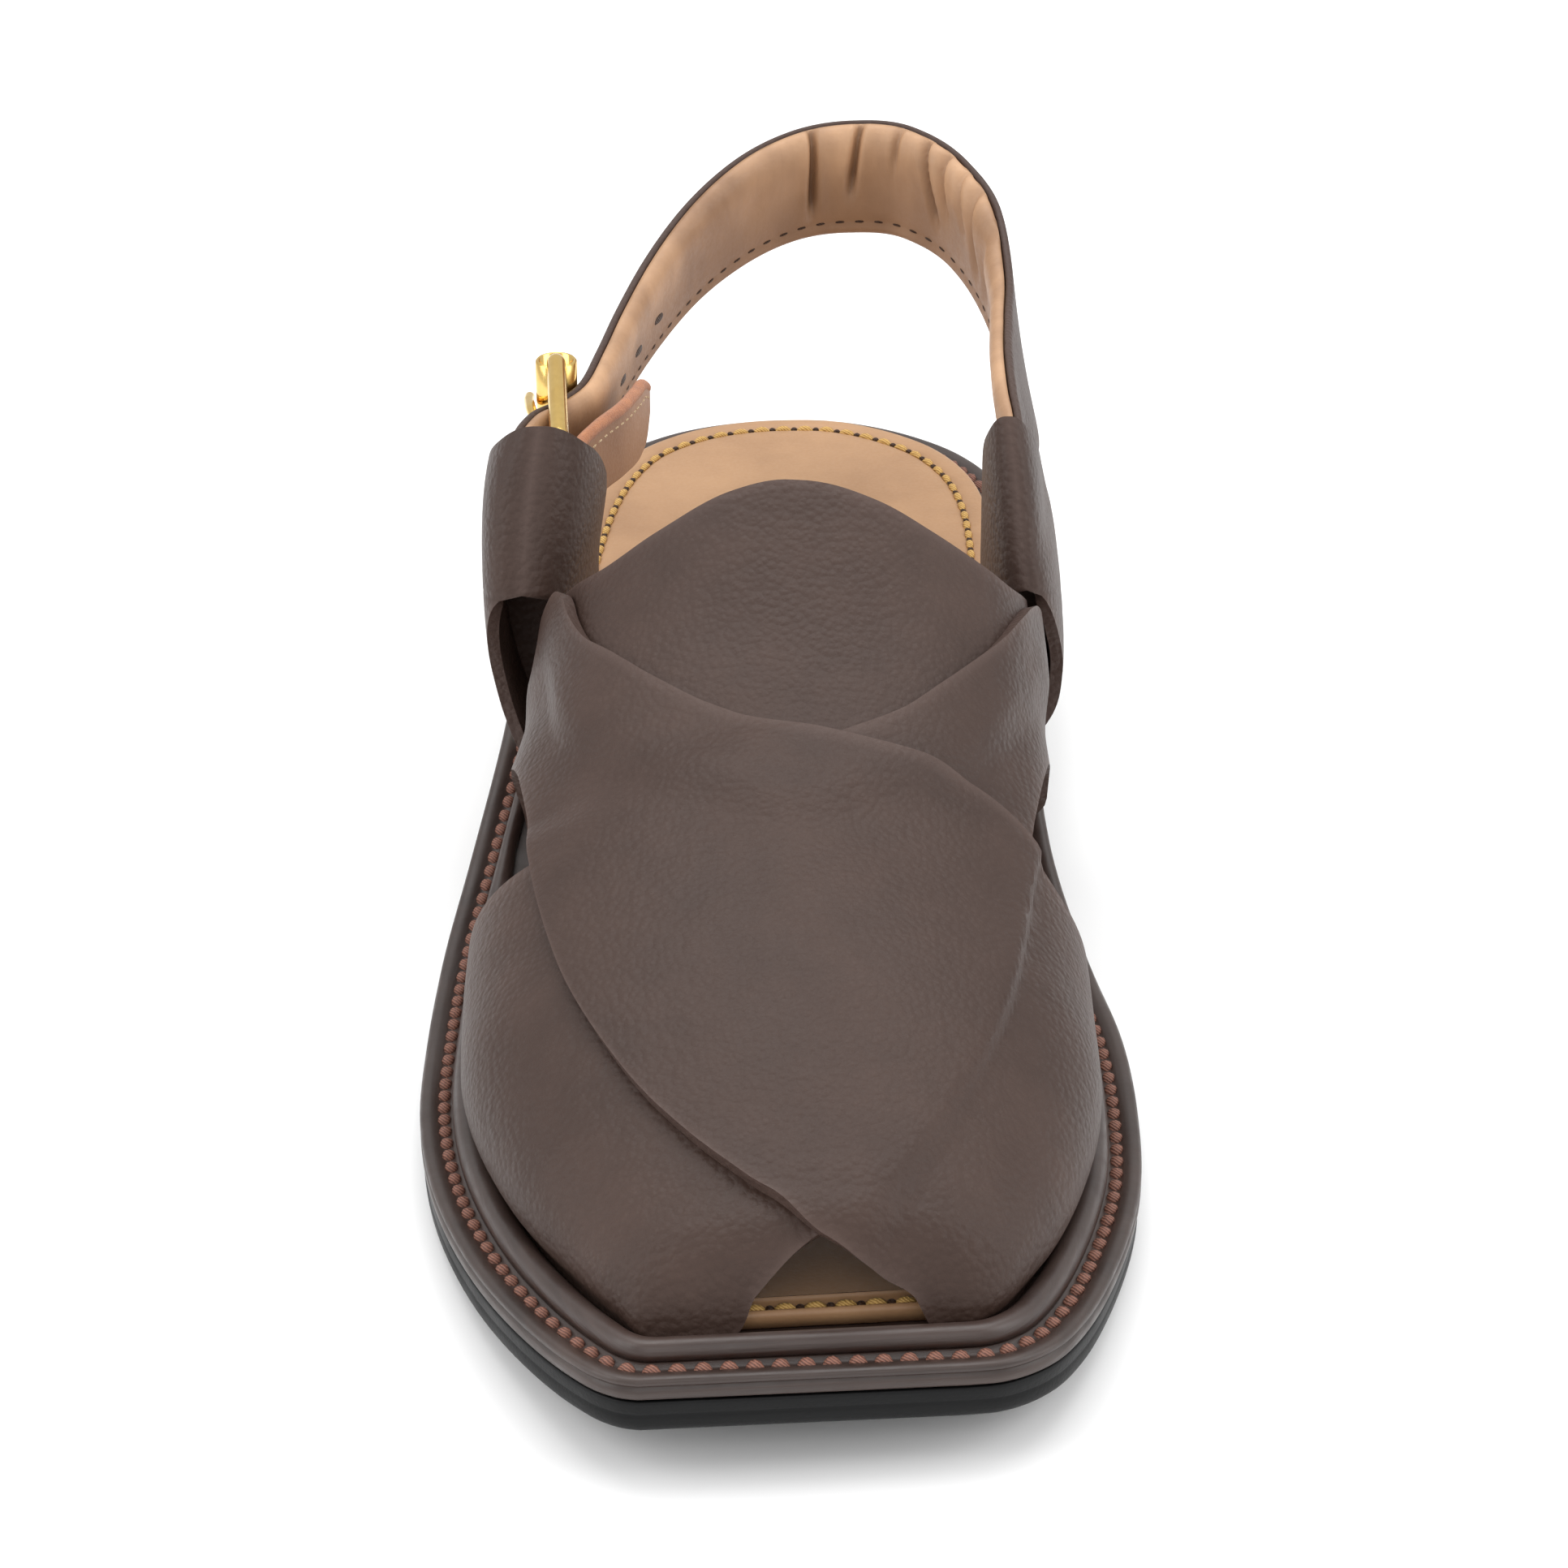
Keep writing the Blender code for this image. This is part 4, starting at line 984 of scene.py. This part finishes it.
def build_heel_block(material):
    bevel = 0.0010
    lateral, medial = OUTLINE.edges(HEEL_BLOCK_INSET)
    kept = (to_along(lateral[:, 1]) < HEEL_BREAST) & (to_along(medial[:, 1]) < HEEL_BREAST)
    rings = []
    for inset, share in ((bevel, 0.0), (0.0003, 0.1), (0.0, 0.3), (0.0, 1.0)):
        sides = []
        for edge in OUTLINE.edges(HEEL_BLOCK_INSET + inset):
            side = edge[kept]
            side[-1, 1] = to_y(HEEL_BREAST)
            sides.append(side)
        loop = np.vstack((sides[0], sides[1][:0:-1]))
        top = ground_line(loop[:, 1]) - GAP
        height = bevel * share / 0.3 if share < 1.0 else top
        rings.append(np.column_stack((loop, height + 0 * top)))
    mesh = layer_mesh("heel_block", rings)
    piece = add_piece("heel_block_dressed", mesh, material, ["heel_block"])
    round_edges(piece, 0.0003, segments=2, angle=50.0)


def build_midsole(material):
    """Leather board: a rounded top lip, a scored edge and a stitch channel on the ledge."""
    thick = MIDSOLE_THICKNESS
    channel = WELT_STITCH_INSET
    profile = (
        (0.0007, thick), (0.0002, thick - 0.0002), (0.0, thick - 0.0006),
        (0.0, 0.0017), (0.00035, 0.0015), (0.0004, 0.0013), (0.0001, 0.0011),
        (0.0, 0.0008), (0.0001, 0.0004), (0.0005, 0.0001), (0.0011, 0.0),
        (channel - 0.0013, 0.0001), (channel - 0.0009, 0.0006), (channel, 0.0008),
        (channel + 0.0008, 0.0006), (channel + 0.0012, 0.0), (WELT_LEDGE + 0.001, 0.0),
    )
    rings = [ring(inset, midsole_top, drop) for inset, drop in profile]
    add_piece("midsole_dressed", layer_mesh("midsole", rings), material, ["midsole"])


def build_welt_stitches(material):
    path = ring(WELT_STITCH_INSET, midsole_top, 0.0004)
    up = np.tile((0.0, 0.0, 1.0), (len(path), 1))
    mesh = stitch_mesh("welt_stitches", path, up, WELT_STITCH, closed=True, slant=0.25)
    add_piece("welt_stitches", mesh, material)


def build_insole(material):
    """Sock of tan leather, its edge rolled over and its stitches in a shallow groove."""
    profile = (
        (0.0, 0.0, INSOLE_THICKNESS), (0.0, 0.0, 0.0008), (0.0002, 0.0, 0.0003),
        (0.0006, 0.0, 0.0001), (-0.0010, 1.0, 0.0), (-0.0004, 1.0, 0.0006),
        (0.0004, 1.0, 0.0006), (0.0012, 1.0, 0.0001), (0.0030, 1.0, 0.0),
    )
    rings = []
    for inset, follows, drop in profile:
        def place(along, inset=inset, follows=follows):
            return insole_inset(along) + inset + follows * read_line(INSOLE_STITCH_LINE, 1, along)

        rings.append(ring(place, insole_top, drop))
    add_piece("insole_dressed", layer_mesh("insole", rings), material, ["insole"])


def build_insole_stitches(thread, hole_shade):
    def place(along):
        return insole_inset(along) + read_line(INSOLE_STITCH_LINE, 1, along)

    path = ring(place, insole_top, 0.0002)
    up = np.tile((0.0, 0.0, 1.0), (len(path), 1))
    mesh = stitch_mesh("insole_stitches", path, up, INSOLE_STITCH, closed=True)
    add_piece("insole_stitches", mesh, thread)
    # Dark marks between the stitches: painted shade of the needle holes.
    mesh = stitch_mesh("insole_hole_shades", path, up, INSOLE_HOLE_SHADE, closed=True, shift=0.5)
    add_piece("insole_hole_shades", mesh, hole_shade)


RAND_START = 0.372
RAND_PROFILE = (
    (0.00, 0.00), (0.00, 0.30), (0.04, 0.52), (0.12, 0.76), (0.24, 0.92), (0.38, 0.99),
    (0.50, 1.00), (0.62, 0.97), (0.74, 0.90), (0.86, 0.77), (0.94, 0.60), (1.00, 0.38),
    (1.00, 0.00),
)


def build_rand(material):
    """The raised leather rim, from ear to ear round the toe."""
    lines = []
    for across, up in RAND_PROFILE:
        def inset(along, across=across):
            return WELT_LEDGE + (rand_inner_inset(along) - WELT_LEDGE) * across

        lateral, medial = OUTLINE.edges(inset)
        loop = np.vstack((lateral, medial[::-1]))
        height = midsole_top(loop[:, 1]) + GAP + RAND_HEIGHT * up
        lines.append(np.column_stack((loop, height)))
    lines = np.array(lines)
    kept = to_along(lines[0, :, 1]) > RAND_START
    sections = lines[:, kept].transpose(1, 0, 2)
    add_piece("rand_dressed", sweep_mesh("rand", sections), material, ["rand"])


# Upper


def covered(table, across, along):
    """1 where a strap lies underneath, fading to 0 over a short stretch past its edges."""
    rear, front = smooth_table(table, across)
    inside = np.minimum(np.ravel(along) - rear, front - np.ravel(along))
    end = np.minimum(np.ravel(across) - table[0][0], table[-1][0] - np.ravel(across))
    part = np.clip(1 + inside / LAP_FADE, 0, 1) * np.clip(1 + end / LAP_FADE, 0, 1)
    return ease(part).reshape(np.shape(across))


def fold_depth(points, last, folds):
    """How far the listed folds lower a strap at each point."""
    depth = np.zeros(points.shape[:2])
    for across0, along0, across1, along1, reach, fall in folds:
        start = last.surface(across0, along0)
        way = last.surface(across1, along1) - start
        share = np.clip(((points - start) @ way) / (way @ way), 0, 1)
        apart = np.linalg.norm(points - start - share[..., None] * way, axis=-1)
        fade = np.sin(math.pi * np.clip(0.12 + 0.76 * share, 0, 1))
        depth += fall * fade * np.exp(-(apart / reach) ** 2)
    return depth


def edge_wear(points, reach=0.0012):
    """1 at the rim of a grid of points, falling away from it: where the edges get their wear and painted
    highlight.
    """
    rows, count = points.shape[:2]
    wear = np.zeros((rows, count))
    for axis in (0, 1):
        step = np.linalg.norm(np.diff(points, axis=axis), axis=-1)
        pad = [(0, 0), (0, 0)]
        pad[axis] = (1, 0)
        ahead = np.cumsum(np.pad(step, pad), axis=axis)
        total = ahead.max(axis=axis, keepdims=True)
        nearest = np.minimum(ahead, total - ahead)
        if axis == 0:
            nearest = nearest + 0.02
        wear = np.maximum(wear, np.exp(-nearest / reach))
    return wear


def strap_grids(last, table, under, folds):
    """Inner and outer points of a strap, lifted over the straps that lie under it."""
    across = spread_rows(column(table, 0), STRAP_ROW_STEPS)
    rear, front = smooth_table(table, across)
    share = 1 - (1 - np.linspace(0, 1, STRAP_STEPS + 1)) ** TOE_CROWDING
    along = rear[:, None] + (front - rear)[:, None] * share
    across = np.broadcast_to(across[:, None], along.shape)
    lift = sum((covered(lower, across, along) for lower in under), np.zeros(along.shape))
    foot = ease(np.minimum(across, 1 - across) / FOOT_SHARE)
    seat = SEAT_STEP * len(under) * foot
    rise = seat + LEATHER + lift * (LEATHER - SEAT_STEP)
    out = last.normal(across, along)
    base = last.surface(across, along)
    rise = rise - fold_depth(base, last, folds)
    outer = base + out * rise[..., None]
    inner = outer - out * (LEATHER - STRAP_CLEARANCE)
    tuck = TOE_TUCK * ease((along - TUCK_START) / TUCK_LENGTH)
    for side in (inner, outer):
        side[..., 2] -= tuck
        floor = midsole_top(side[..., 1]) + GAP
        side[..., 2] = np.maximum(side[..., 2], floor)
    return inner, outer


def build_straps(material):
    last = Last()
    rows = (
        ("tongue", TONGUE, (), TONGUE_FOLDS, ["upper"]),
        ("strap_lower", LOWER_STRAP, (TONGUE,), LOWER_STRAP_FOLDS, []),
        ("strap_top", TOP_STRAP, (LOWER_STRAP, TONGUE), TOP_STRAP_FOLDS, []),
    )
    for name, table, under, folds, stands_for in rows:
        inner, outer = strap_grids(last, table, under, folds)
        mesh = sheet_mesh(name, inner, outer, wear=edge_wear(outer))
        piece = add_piece(name, mesh, material, stands_for)
        round_edges(piece, 0.0007)


# Ears


def ear_surface(rows, height, foot, side):
    """Outer face of a folded ear: a grid of points for each half, and the slit below."""
    levels = spread_rows(column(rows, 0), EAR_ROW_STEPS)
    halves = []
    for half in (0, 1):
        grid = []
        for level in levels:
            edge = 0.5
            if level < SLIT_TOP - WELD:
                opening = min((SLIT_TOP - level) / SLIT_BENDS[half], 1.0)
                edge = 0.5 - LIP_SHARE * math.sqrt(opening * (2 - opening))
            place = np.linspace(0, edge, EAR_STEPS + 1)
            place = place if half == 0 else 1 - place
            away = np.abs(2 * place - 1)
            corner = 1 - np.sqrt(1 - np.clip((away - CORNER_START) / (1 - CORNER_START), 0, 1) ** 2)
            top = 1 - (EAR_TOP_DROP * away ** 2 + EAR_CORNER * corner) / height
            up = level * top
            front, rear, out, spread = smooth_table(rows, up)
            turn = np.pi * place
            sideways = np.sign(-np.cos(turn)) * np.abs(np.cos(turn)) ** EAR_FOLD
            forward = np.sin(turn) ** EAR_FOLD
            y = (rear - (rear - front) * forward) * SOLE_LENGTH
            x = foot(y) + side * (out - spread * (sideways + 1) / 2) * BALL_WIDTH
            base = midsole_top(y) + GAP
            fade = np.clip(1 - up / INSOLE_STEP_FADE, 0, 1)
            over_insole = half * (INSOLE_THICKNESS + 2 * GAP) * fade
            full = height + midsole_top(to_y(EAR_STATION)) - base
            grid.append(np.column_stack((x, y, base + up * full + over_insole)))
        halves.append(np.array(grid))
    return halves


def build_ear_back(name, rows, halves, material):
    """The seam that shuts the fold's rear below the back strap."""
    levels = spread_rows(column(rows, 0), EAR_ROW_STEPS)
    kept = levels < CLOSED_TO
    first, last = halves[0][kept, 3], halves[1][kept, 3]
    share = np.linspace(0.0, 1.0, 9)[None, :, None]
    outer = first[:, None] * (1 - share) + last[:, None] * share
    inner = outer + (0.0, -0.0012, 0.0)
    mesh = sheet_mesh(name + "_back", inner, outer, wear=np.zeros(outer.shape[:2]))
    piece = add_piece(name + "_back", mesh, material, ())
    round_edges(piece, 0.0003)


def build_ear(name, rows, height, side, material):
    edge = OUTLINE.edges(ear_inset, steps=4)[0 if side < 0 else 1]
    order = np.argsort(edge[:, 1])

    def foot(y):
        return np.interp(y, edge[order, 1], edge[order, 0])

    halves = ear_surface(rows, height, foot, side)
    build_ear_back(name, rows, halves, material)
    points, faces, wear = [], [], []
    for half, grid in enumerate(halves):
        found = grid_faces(*grid.shape[:2], start=len(points))
        faces += found if half == 0 else [face[::-1] for face in found]
        points.extend(grid.reshape(-1, 3))
        wear.append(np.ravel(edge_wear(grid)))
    mesh = mesh_from(name, points, faces, wear=np.concatenate(wear))
    piece = add_piece(name + "_dressed", mesh, material, [name])
    wall = piece.modifiers.new("wall", "SOLIDIFY")
    wall.thickness = EAR_LEATHER
    wall.offset = -1.0
    round_edges(piece, 0.0008)


# Back strap


def band_inside(path):
    """Horizontal direction from a band's outer face to its inner face, at each point."""
    ahead = unit(np.gradient(path, axis=0))
    return np.column_stack((-ahead[:, 1], ahead[:, 0]))


def strap_line(steps):
    """The back strap's rows in metres, with more between them: x, y, top, height, depth, lean."""
    rows = np.array(BACK_STRAP)
    chord = np.linalg.norm(np.diff(rows[:, :2], axis=0), axis=1)
    place = np.concatenate(([0.0], np.cumsum(chord)))
    dense = smooth(spread_rows(place, steps), place, rows)
    sizes = (BALL_WIDTH, SOLE_LENGTH, STRAP_TOP, STRAP_HEIGHT, STRAP_THICKNESS, 1.0)
    return dense * sizes


class Band:
    """The back strap's centre data: points from a way in and a drop below the top edge."""

    def __init__(self):
        line = strap_line(BAND_STEPS)
        self.path = line[:, :2]
        self.top, self.height, self.depth, self.lean = line[:, 2:].T
        self.inside = band_inside(self.path)
        step = np.linalg.norm(np.diff(self.path, axis=0), axis=1)
        self.arc = np.concatenate(([0.0], np.cumsum(step)))
        self.share = self.arc / self.arc[-1]

    def point(self, way_in, drop):
        """One line of points, one for each row: way_in and drop may vary along the band."""
        lean = self.lean * drop
        plan = self.path + self.inside * (way_in + lean)[:, None]
        return np.column_stack((plan, self.top - drop))


OUTER_SHELL = 0.0015
# Section of the lining. Columns: drop (share of the height), fullness (share of its depth)
LINING = (
    (0.020, 0.05), (0.018, 0.30), (0.035, 0.55), (0.075, 0.78), (0.130, 0.93), (0.200, 1.00),
    (0.280, 0.99), (0.360, 0.93), (0.450, 0.84), (0.550, 0.76), (0.650, 0.70), (0.740, 0.66),
    (0.820, 0.60), (0.870, 0.48), (0.900, 0.44), (0.930, 0.50), (0.970, 0.50), (0.995, 0.34),
)


def build_strap_shell(band, material):
    """Brown outer leather of the back strap, rounded over its top edge."""
    thin = OUTER_SHELL
    tops = ((0.0, 0.0009), (0.00015, 0.0004), (0.0005, 0.0001), (0.0009, 0.0), (0.0013, 0.0003))
    lines = [band.point(np.zeros_like(band.top), band.height * share) for share in (1.0, 0.75, 0.5, 0.25)]
    lines += [band.point(np.full_like(band.top, way), np.full_like(band.top, drop)) for way, drop in tops]
    lines += [band.point(np.full_like(band.top, thin), band.height * share) for share in (0.05, 0.5, 1.0)]
    sections = np.array(lines).transpose(1, 0, 2)
    # Lighter along the shell's rims, most over its rounded top edge: partly wear, partly painted highlight.
    mesh = sweep_mesh("strap_shell", sections, wear=np.tile(
        [0.6, 0.0, 0.0, 0.0, 0.2, 0.6, 0.8, 0.6, 0.3, 0.0, 0.0, 0.4], len(sections)))
    piece = add_piece("back_strap_outer", mesh, material, ["back_strap"])
    round_edges(piece, 0.0003, segments=2)


def build_strap_lining(band, material):
    """Padded tan lining, full at its rolled top, gathered where the strap bends, with painted shade in its
    wrinkles and lower down.
    """
    room = band.depth - OUTER_SHELL
    lines, shades = [], []
    for drop_share, full in LINING:
        drop = band.height * drop_share
        pull = np.zeros_like(drop)
        for share, reach, deep, slant, stop in LINING_WRINKLES:
            away = band.arc - share * band.arc[-1] - slant * drop
            fade = ease((stop - drop_share) / 0.25) * ease(drop_share / 0.03 + 0.4)
            pull += deep * fade * (np.exp(-(away / reach) ** 2) - 0.25 * np.exp(-(away / reach / 2.6) ** 2))
        pull = np.minimum(pull, room * full * 0.8)
        lines.append(band.point(OUTER_SHELL + room * full - pull, drop + 0.4 * pull * (drop_share < 0.1)))
        # Painted shade: darker in the wrinkles' troughs and over the lower part of the lining.
        shades.append(np.clip(pull / 0.0016, 0, 1) ** 2 * 0.7 + 0.75 * ease((drop_share - 0.15) / 0.6))
    back = OUTER_SHELL + GAP / 3 + 0 * room
    lines.append(band.point(back, band.height * 0.995))
    lines.append(band.point(back, band.height * 0.03))
    shades += [0 * room, 0 * room]
    sections = np.array(lines).transpose(1, 0, 2)
    mesh = sweep_mesh("lining", sections, shade=np.array(shades).T)
    piece = add_piece("back_strap_lining", mesh, material, ())


def build_lining_stitches(band, material):
    full = read_line(LINING, 1, 0.885)
    way = OUTER_SHELL + (band.depth - OUTER_SHELL) * full
    path = band.point(way, band.height * 0.885)
    up = np.column_stack((band.inside, 0 * band.top))
    mesh = stitch_mesh("lining_stitches", path, up, LINING_STITCH)
    add_piece("lining_stitches", mesh, material)


# Columns: share of the strap's length from the medial end, drop (share of its height)
STRAP_HOLES = ((0.700, 0.58), (0.742, 0.58), (0.784, 0.58))


def build_strap_hole_shades(band, material):
    """Dark patches on the lining at the prong's punched slots: painted shade in place of the holes."""
    for index, (share, drop) in enumerate(STRAP_HOLES):
        row = int(np.argmin(np.abs(band.share - share)))
        full = np.interp(drop, column(LINING, 0)[2:], column(LINING, 1)[2:])
        way = OUTER_SHELL + (band.depth[row] - OUTER_SHELL) * full
        plan = band.path[row] + band.inside[row] * way
        middle = np.array((*plan, band.top[row] - band.height[row] * drop))
        ahead = np.array((band.inside[row, 1], -band.inside[row, 0], 0.0))
        rise = np.array((*band.inside[row], 0.0))
        path = [middle - ahead * 0.0026, middle, middle + ahead * 0.0026]
        mesh = stitch_mesh("hole_shade", path, [rise] * 3, (0.0052, 0.0052, 0.0017, 0.0004))
        add_piece(f"strap_hole_shade_{index}", mesh, material)


# Buckle


def strap_beside(back):
    """Outer face, top edge, depth and inward direction of the strap's lateral run at a place."""
    line = strap_line(2)
    inside = band_inside(line[:, :2])
    run = slice(len(line) // 2, None)
    y = line[run, 1][::-1]
    rows = np.column_stack((line, inside))[run][::-1]
    found = np.array([np.interp(back * SOLE_LENGTH, y, values) for values in rows.T])
    return found[:2], found[2], found[4], found[6:]


def buckle_bars():
    """Tops of the rear bar and the front bar of the frame."""
    face, top, _, inside = strap_beside(BUCKLE_REAR_BACK)
    plan = face - inside * (ROLLER_DIAMETER / 2 + GAP)
    rear = np.array((*plan, top + BUCKLE_RISE))
    face, top, depth, inside = strap_beside(BUCKLE_FRONT_BACK)
    plan = face + inside * (depth + FRONT_BAR_INSET - WIRE_DIAMETER / 2)
    front = np.array((*plan, rear[2] - FRONT_BAR_DROP))
    return rear, front


def build_roller(middle, material, count=48):
    """A tube that is open at both ends, turning on the rear bar."""
    bore, rim, half = WIRE_DIAMETER / 2 + GAP, ROLLER_DIAMETER / 2, ROLLER_LENGTH / 2
    wall = 0.0006
    shell = (
        (bore, half - 0.004), (rim - wall, half - 0.0035), (rim - wall, half - 0.0001),
        (rim - wall / 2, half), (rim, half - 0.0003), (rim, 0.0), (rim, -half + 0.0003),
        (rim - wall / 2, -half), (rim - wall, -half + 0.0001), (rim - wall, -half + 0.0035),
        (bore, -half + 0.004),
    )
    points, faces = [], []
    for k in range(count):
        turn = 2 * math.pi * k / count
        for radius, height in shell:
            place = (radius * math.cos(turn), radius * math.sin(turn), height)
            points.append(np.array(place) + middle)
        size = len(shell)
        after = (k + 1) % count * size
        for i in range(size):
            j = (i + 1) % size
            faces.append((k * size + i, k * size + j, after + j, after + i))
    mesh = mesh_from("roller", points, faces)
    add_piece("buckle_roller_dressed", mesh, material, ["buckle_roller"])


def build_buckle(material):
    rear, front = buckle_bars()
    down = np.array((0.0, 0.0, -BUCKLE_HEIGHT))
    sunk = np.array((0.0, 0.0, -RAIL_DROP))
    corners = (rear + sunk, front + sunk, front + down, rear + down)
    path = rounded_loop(corners, BUCKLE_BEND)
    frame_mesh = wire_mesh("buckle_frame", path, WIRE_DIAMETER, closed=True, sides=20)
    add_piece("buckle_frame_dressed", frame_mesh, material, ["buckle_frame"])
    build_roller(rear + down / 2, material)
    side = unit(np.cross((rear - front) * (1, 1, 0), (0, 0, 1)))
    reach = (ROLLER_DIAMETER + PRONG_DIAMETER) / 2 + GAP
    prong = []
    for way, out, drop in PRONG:
        place = front + (rear - front) * way - side * reach * out * np.sign(side[0])
        place[2] = rear[2] - drop - FRONT_BAR_DROP * (1 - way)
        prong.append(place)
    stations = np.arange(len(prong))
    dense = smooth(spread_rows(stations, 6), stations, prong)
    mesh = wire_mesh("buckle_prong", dense, PRONG_DIAMETER, sides=14)
    add_piece("buckle_prong_dressed", mesh, material, ["buckle_prong"])


def build_flap(tan, rim, thread):
    """Tan flap behind the buckle: its face, its raw rounded top edge and its stitches."""
    rows = np.array(BUCKLE_FLAP)
    place = rows[:, 1][::-1]
    dense = smooth(spread_rows(place, 12), place, rows[::-1])[::-1]
    dense = dense * (BALL_WIDTH, SOLE_LENGTH, STRAP_TOP, FLAP_HEIGHT)
    path, top, height = dense[:, :2], dense[:, 2], dense[:, 3]
    inside = band_inside(path)
    thick = FLAP_THICKNESS
    profile = []
    for share in (0.0, 0.25, 0.5, 0.75, 1.0):
        angle = math.pi * share
        way = thick / 2 * (1 - math.cos(angle))
        profile.append((way, 0.0, 0.0009 * (1 - math.sin(angle))))
    for share in (1.0, 0.75, 0.5, 0.25, 0.0):
        angle = math.pi * share
        way = thick / 2 * (1 - math.cos(angle))
        profile.append((way, 1.0, -0.0005 * (1 - math.sin(angle))))
    lines = []
    for way, low, drop in profile:
        plan = path + inside * way
        lines.append(np.column_stack((plan, top - height * low - drop)))
    sections = np.array(lines).transpose(1, 0, 2)
    mesh = sweep_mesh("flap", sections, shade=np.zeros(len(sections) * len(profile)))
    piece = add_piece("buckle_flap_dressed", mesh, tan, ["buckle_flap"])
    round_edges(piece, 0.0003, segments=2, angle=60.0)
    edge = sections[:, 1:4]
    rim_path = edge.mean(axis=1) - (0, 0, 0.0004)
    add_piece("flap_rim", wire_mesh("flap_rim", rim_path[1:], thick + 0.0004), rim)
    face = path + inside * thick
    level = top - 0.0026
    row = np.column_stack((face, level))[2:]
    up = np.column_stack((inside, 0 * top))[2:]
    add_piece("flap_stitches", stitch_mesh("flap_stitches", row, up, FLAP_STITCH), thread)


# Stage


def build_stage():
    mesh = bpy.data.meshes.new("floor")
    size = 12.0
    corners = [(-size, -size, 0), (size, -size, 0), (size, size, 0), (-size, size, 0)]
    mesh.from_pydata(corners, [], [(0, 1, 2, 3)])
    material = new_material("floor", 0.9)
    paint = Paint(material)
    haze = paint.noise(3.0, detail=1.0)
    paint.finish(paint.mix(haze, (0.93, 0.93, 0.93), (0.95, 0.95, 0.95)))
    mesh.materials.append(material)
    floor = bpy.data.objects.new("floor", mesh)
    bpy.context.scene.collection.objects.link(floor)


# Columns: name, place, aim, width, height in metres, and power in watts
LIGHTS = (
    ("top_light", (0.0, 0.35, 1.30), (0.0, -0.02, 0.0), 1.4, 1.0, 12.0),
    ("left_light", (-1.15, -0.25, 0.75), (0.0, 0.0, 0.04), 0.8, 1.1, 7.0),
    ("right_light", (1.15, -0.20, 0.75), (0.0, 0.0, 0.04), 0.8, 1.1, 7.0),
    ("front_light", (0.0, -1.30, 0.90), (0.0, 0.0, 0.04), 1.2, 0.8, 4.0),
)
WORLD_STRENGTH = 0.75


def build_lights():
    for name, place, aim, width, height, power in LIGHTS:
        light = bpy.data.lights.new(name, "AREA")
        light.shape = "RECTANGLE"
        light.size = width
        light.size_y = height
        light.energy = power
        lamp = bpy.data.objects.new(name, light)
        lamp.location = place
        lamp.rotation_euler = (Vector(aim) - Vector(place)).to_track_quat("-Z", "Y").to_euler()
        bpy.context.scene.collection.objects.link(lamp)
    world = bpy.data.worlds.new("studio")
    world.use_nodes = True
    background = world.node_tree.nodes["Background"]
    background.inputs["Color"].default_value = (1.0, 1.0, 1.0, 1.0)
    background.inputs["Strength"].default_value = WORLD_STRENGTH
    bpy.context.scene.world = world


def build_camera():
    data = bpy.data.cameras.new("camera")
    data.lens = CAMERA_LENS
    data.sensor_width = SENSOR
    camera = bpy.data.objects.new("camera", data)
    rise = math.radians(CAMERA_ELEVATION)
    back = Vector((0.0, -math.cos(rise), math.sin(rise)))
    camera.location = CAMERA_AIM + back * CAMERA_DISTANCE
    camera.rotation_euler = back.to_track_quat("Z", "Y").to_euler()
    bpy.context.scene.collection.objects.link(camera)
    bpy.context.scene.camera = camera


def main():
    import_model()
    bpy.context.scene.view_settings.view_transform = "Standard"
    build_camera()
    build_lights()
    build_stage()

    rubber = black_rubber("rubber")
    edge = edge_leather("edge", (0.022, 0.012, 0.009), (0.045, 0.026, 0.020))
    rim = edge_leather("rim", (0.026, 0.014, 0.011), (0.050, 0.030, 0.024))
    # Its third colour lightens the edges: partly worn leather, partly painted highlight.
    brown = brown_leather(
        "brown_leather", (0.036, 0.0190, 0.0136), (0.060, 0.0345, 0.0262), (0.095, 0.062, 0.052),
        pebble=0.0011, depth=0.0002)
    tan = tan_leather("tan_leather", (0.46, 0.265, 0.135), (0.34, 0.185, 0.09), 0.0007, 0.00006)
    # The lining's darker colour also serves as its painted shade.
    lining = tan_leather("lining_leather", (0.56, 0.335, 0.19), (0.17, 0.085, 0.042), 0.0008, 0.0001, 0.55)
    flap_leather = tan_leather("flap_leather", (0.30, 0.145, 0.065), (0.20, 0.09, 0.04), 0.0006, 0.00008)
    brass = polished_brass("brass")
    gold_thread = waxed_thread("gold_thread", (0.66, 0.42, 0.14), (0.36, 0.19, 0.05))
    red_thread = waxed_thread("red_thread", (0.26, 0.12, 0.085), (0.10, 0.045, 0.034))
    # Dark thread for the lining stitches, also the painted shade of the insole's needle holes and the
    # strap's punched slots.
    dark_thread_and_hole_shade = waxed_thread("dark_thread_and_hole_shade", (0.055, 0.026, 0.014), (0.025, 0.012, 0.007))
    pale_thread = waxed_thread("pale_thread", (0.62, 0.47, 0.30), (0.36, 0.25, 0.14))
    raw_edge = suede("raw_edge", (0.46, 0.17, 0.055), (0.28, 0.09, 0.03))

    build_outsole(rubber)
    build_heel_block(rubber)
    build_midsole(edge)
    build_welt_stitches(red_thread)
    build_insole(tan)
    build_insole_stitches(gold_thread, dark_thread_and_hole_shade)
    build_rand(rim)
    build_straps(brown)
    build_ear("ear_lateral", LATERAL_EAR, LATERAL_EAR_HEIGHT, -1, brown)
    build_ear("ear_medial", MEDIAL_EAR, MEDIAL_EAR_HEIGHT, 1, brown)
    band = Band()
    build_strap_shell(band, brown)
    build_strap_lining(band, lining)
    build_lining_stitches(band, dark_thread_and_hole_shade)
    build_strap_hole_shades(band, dark_thread_and_hole_shade)
    build_buckle(brass)
    build_flap(flap_leather, raw_edge, pale_thread)


main()
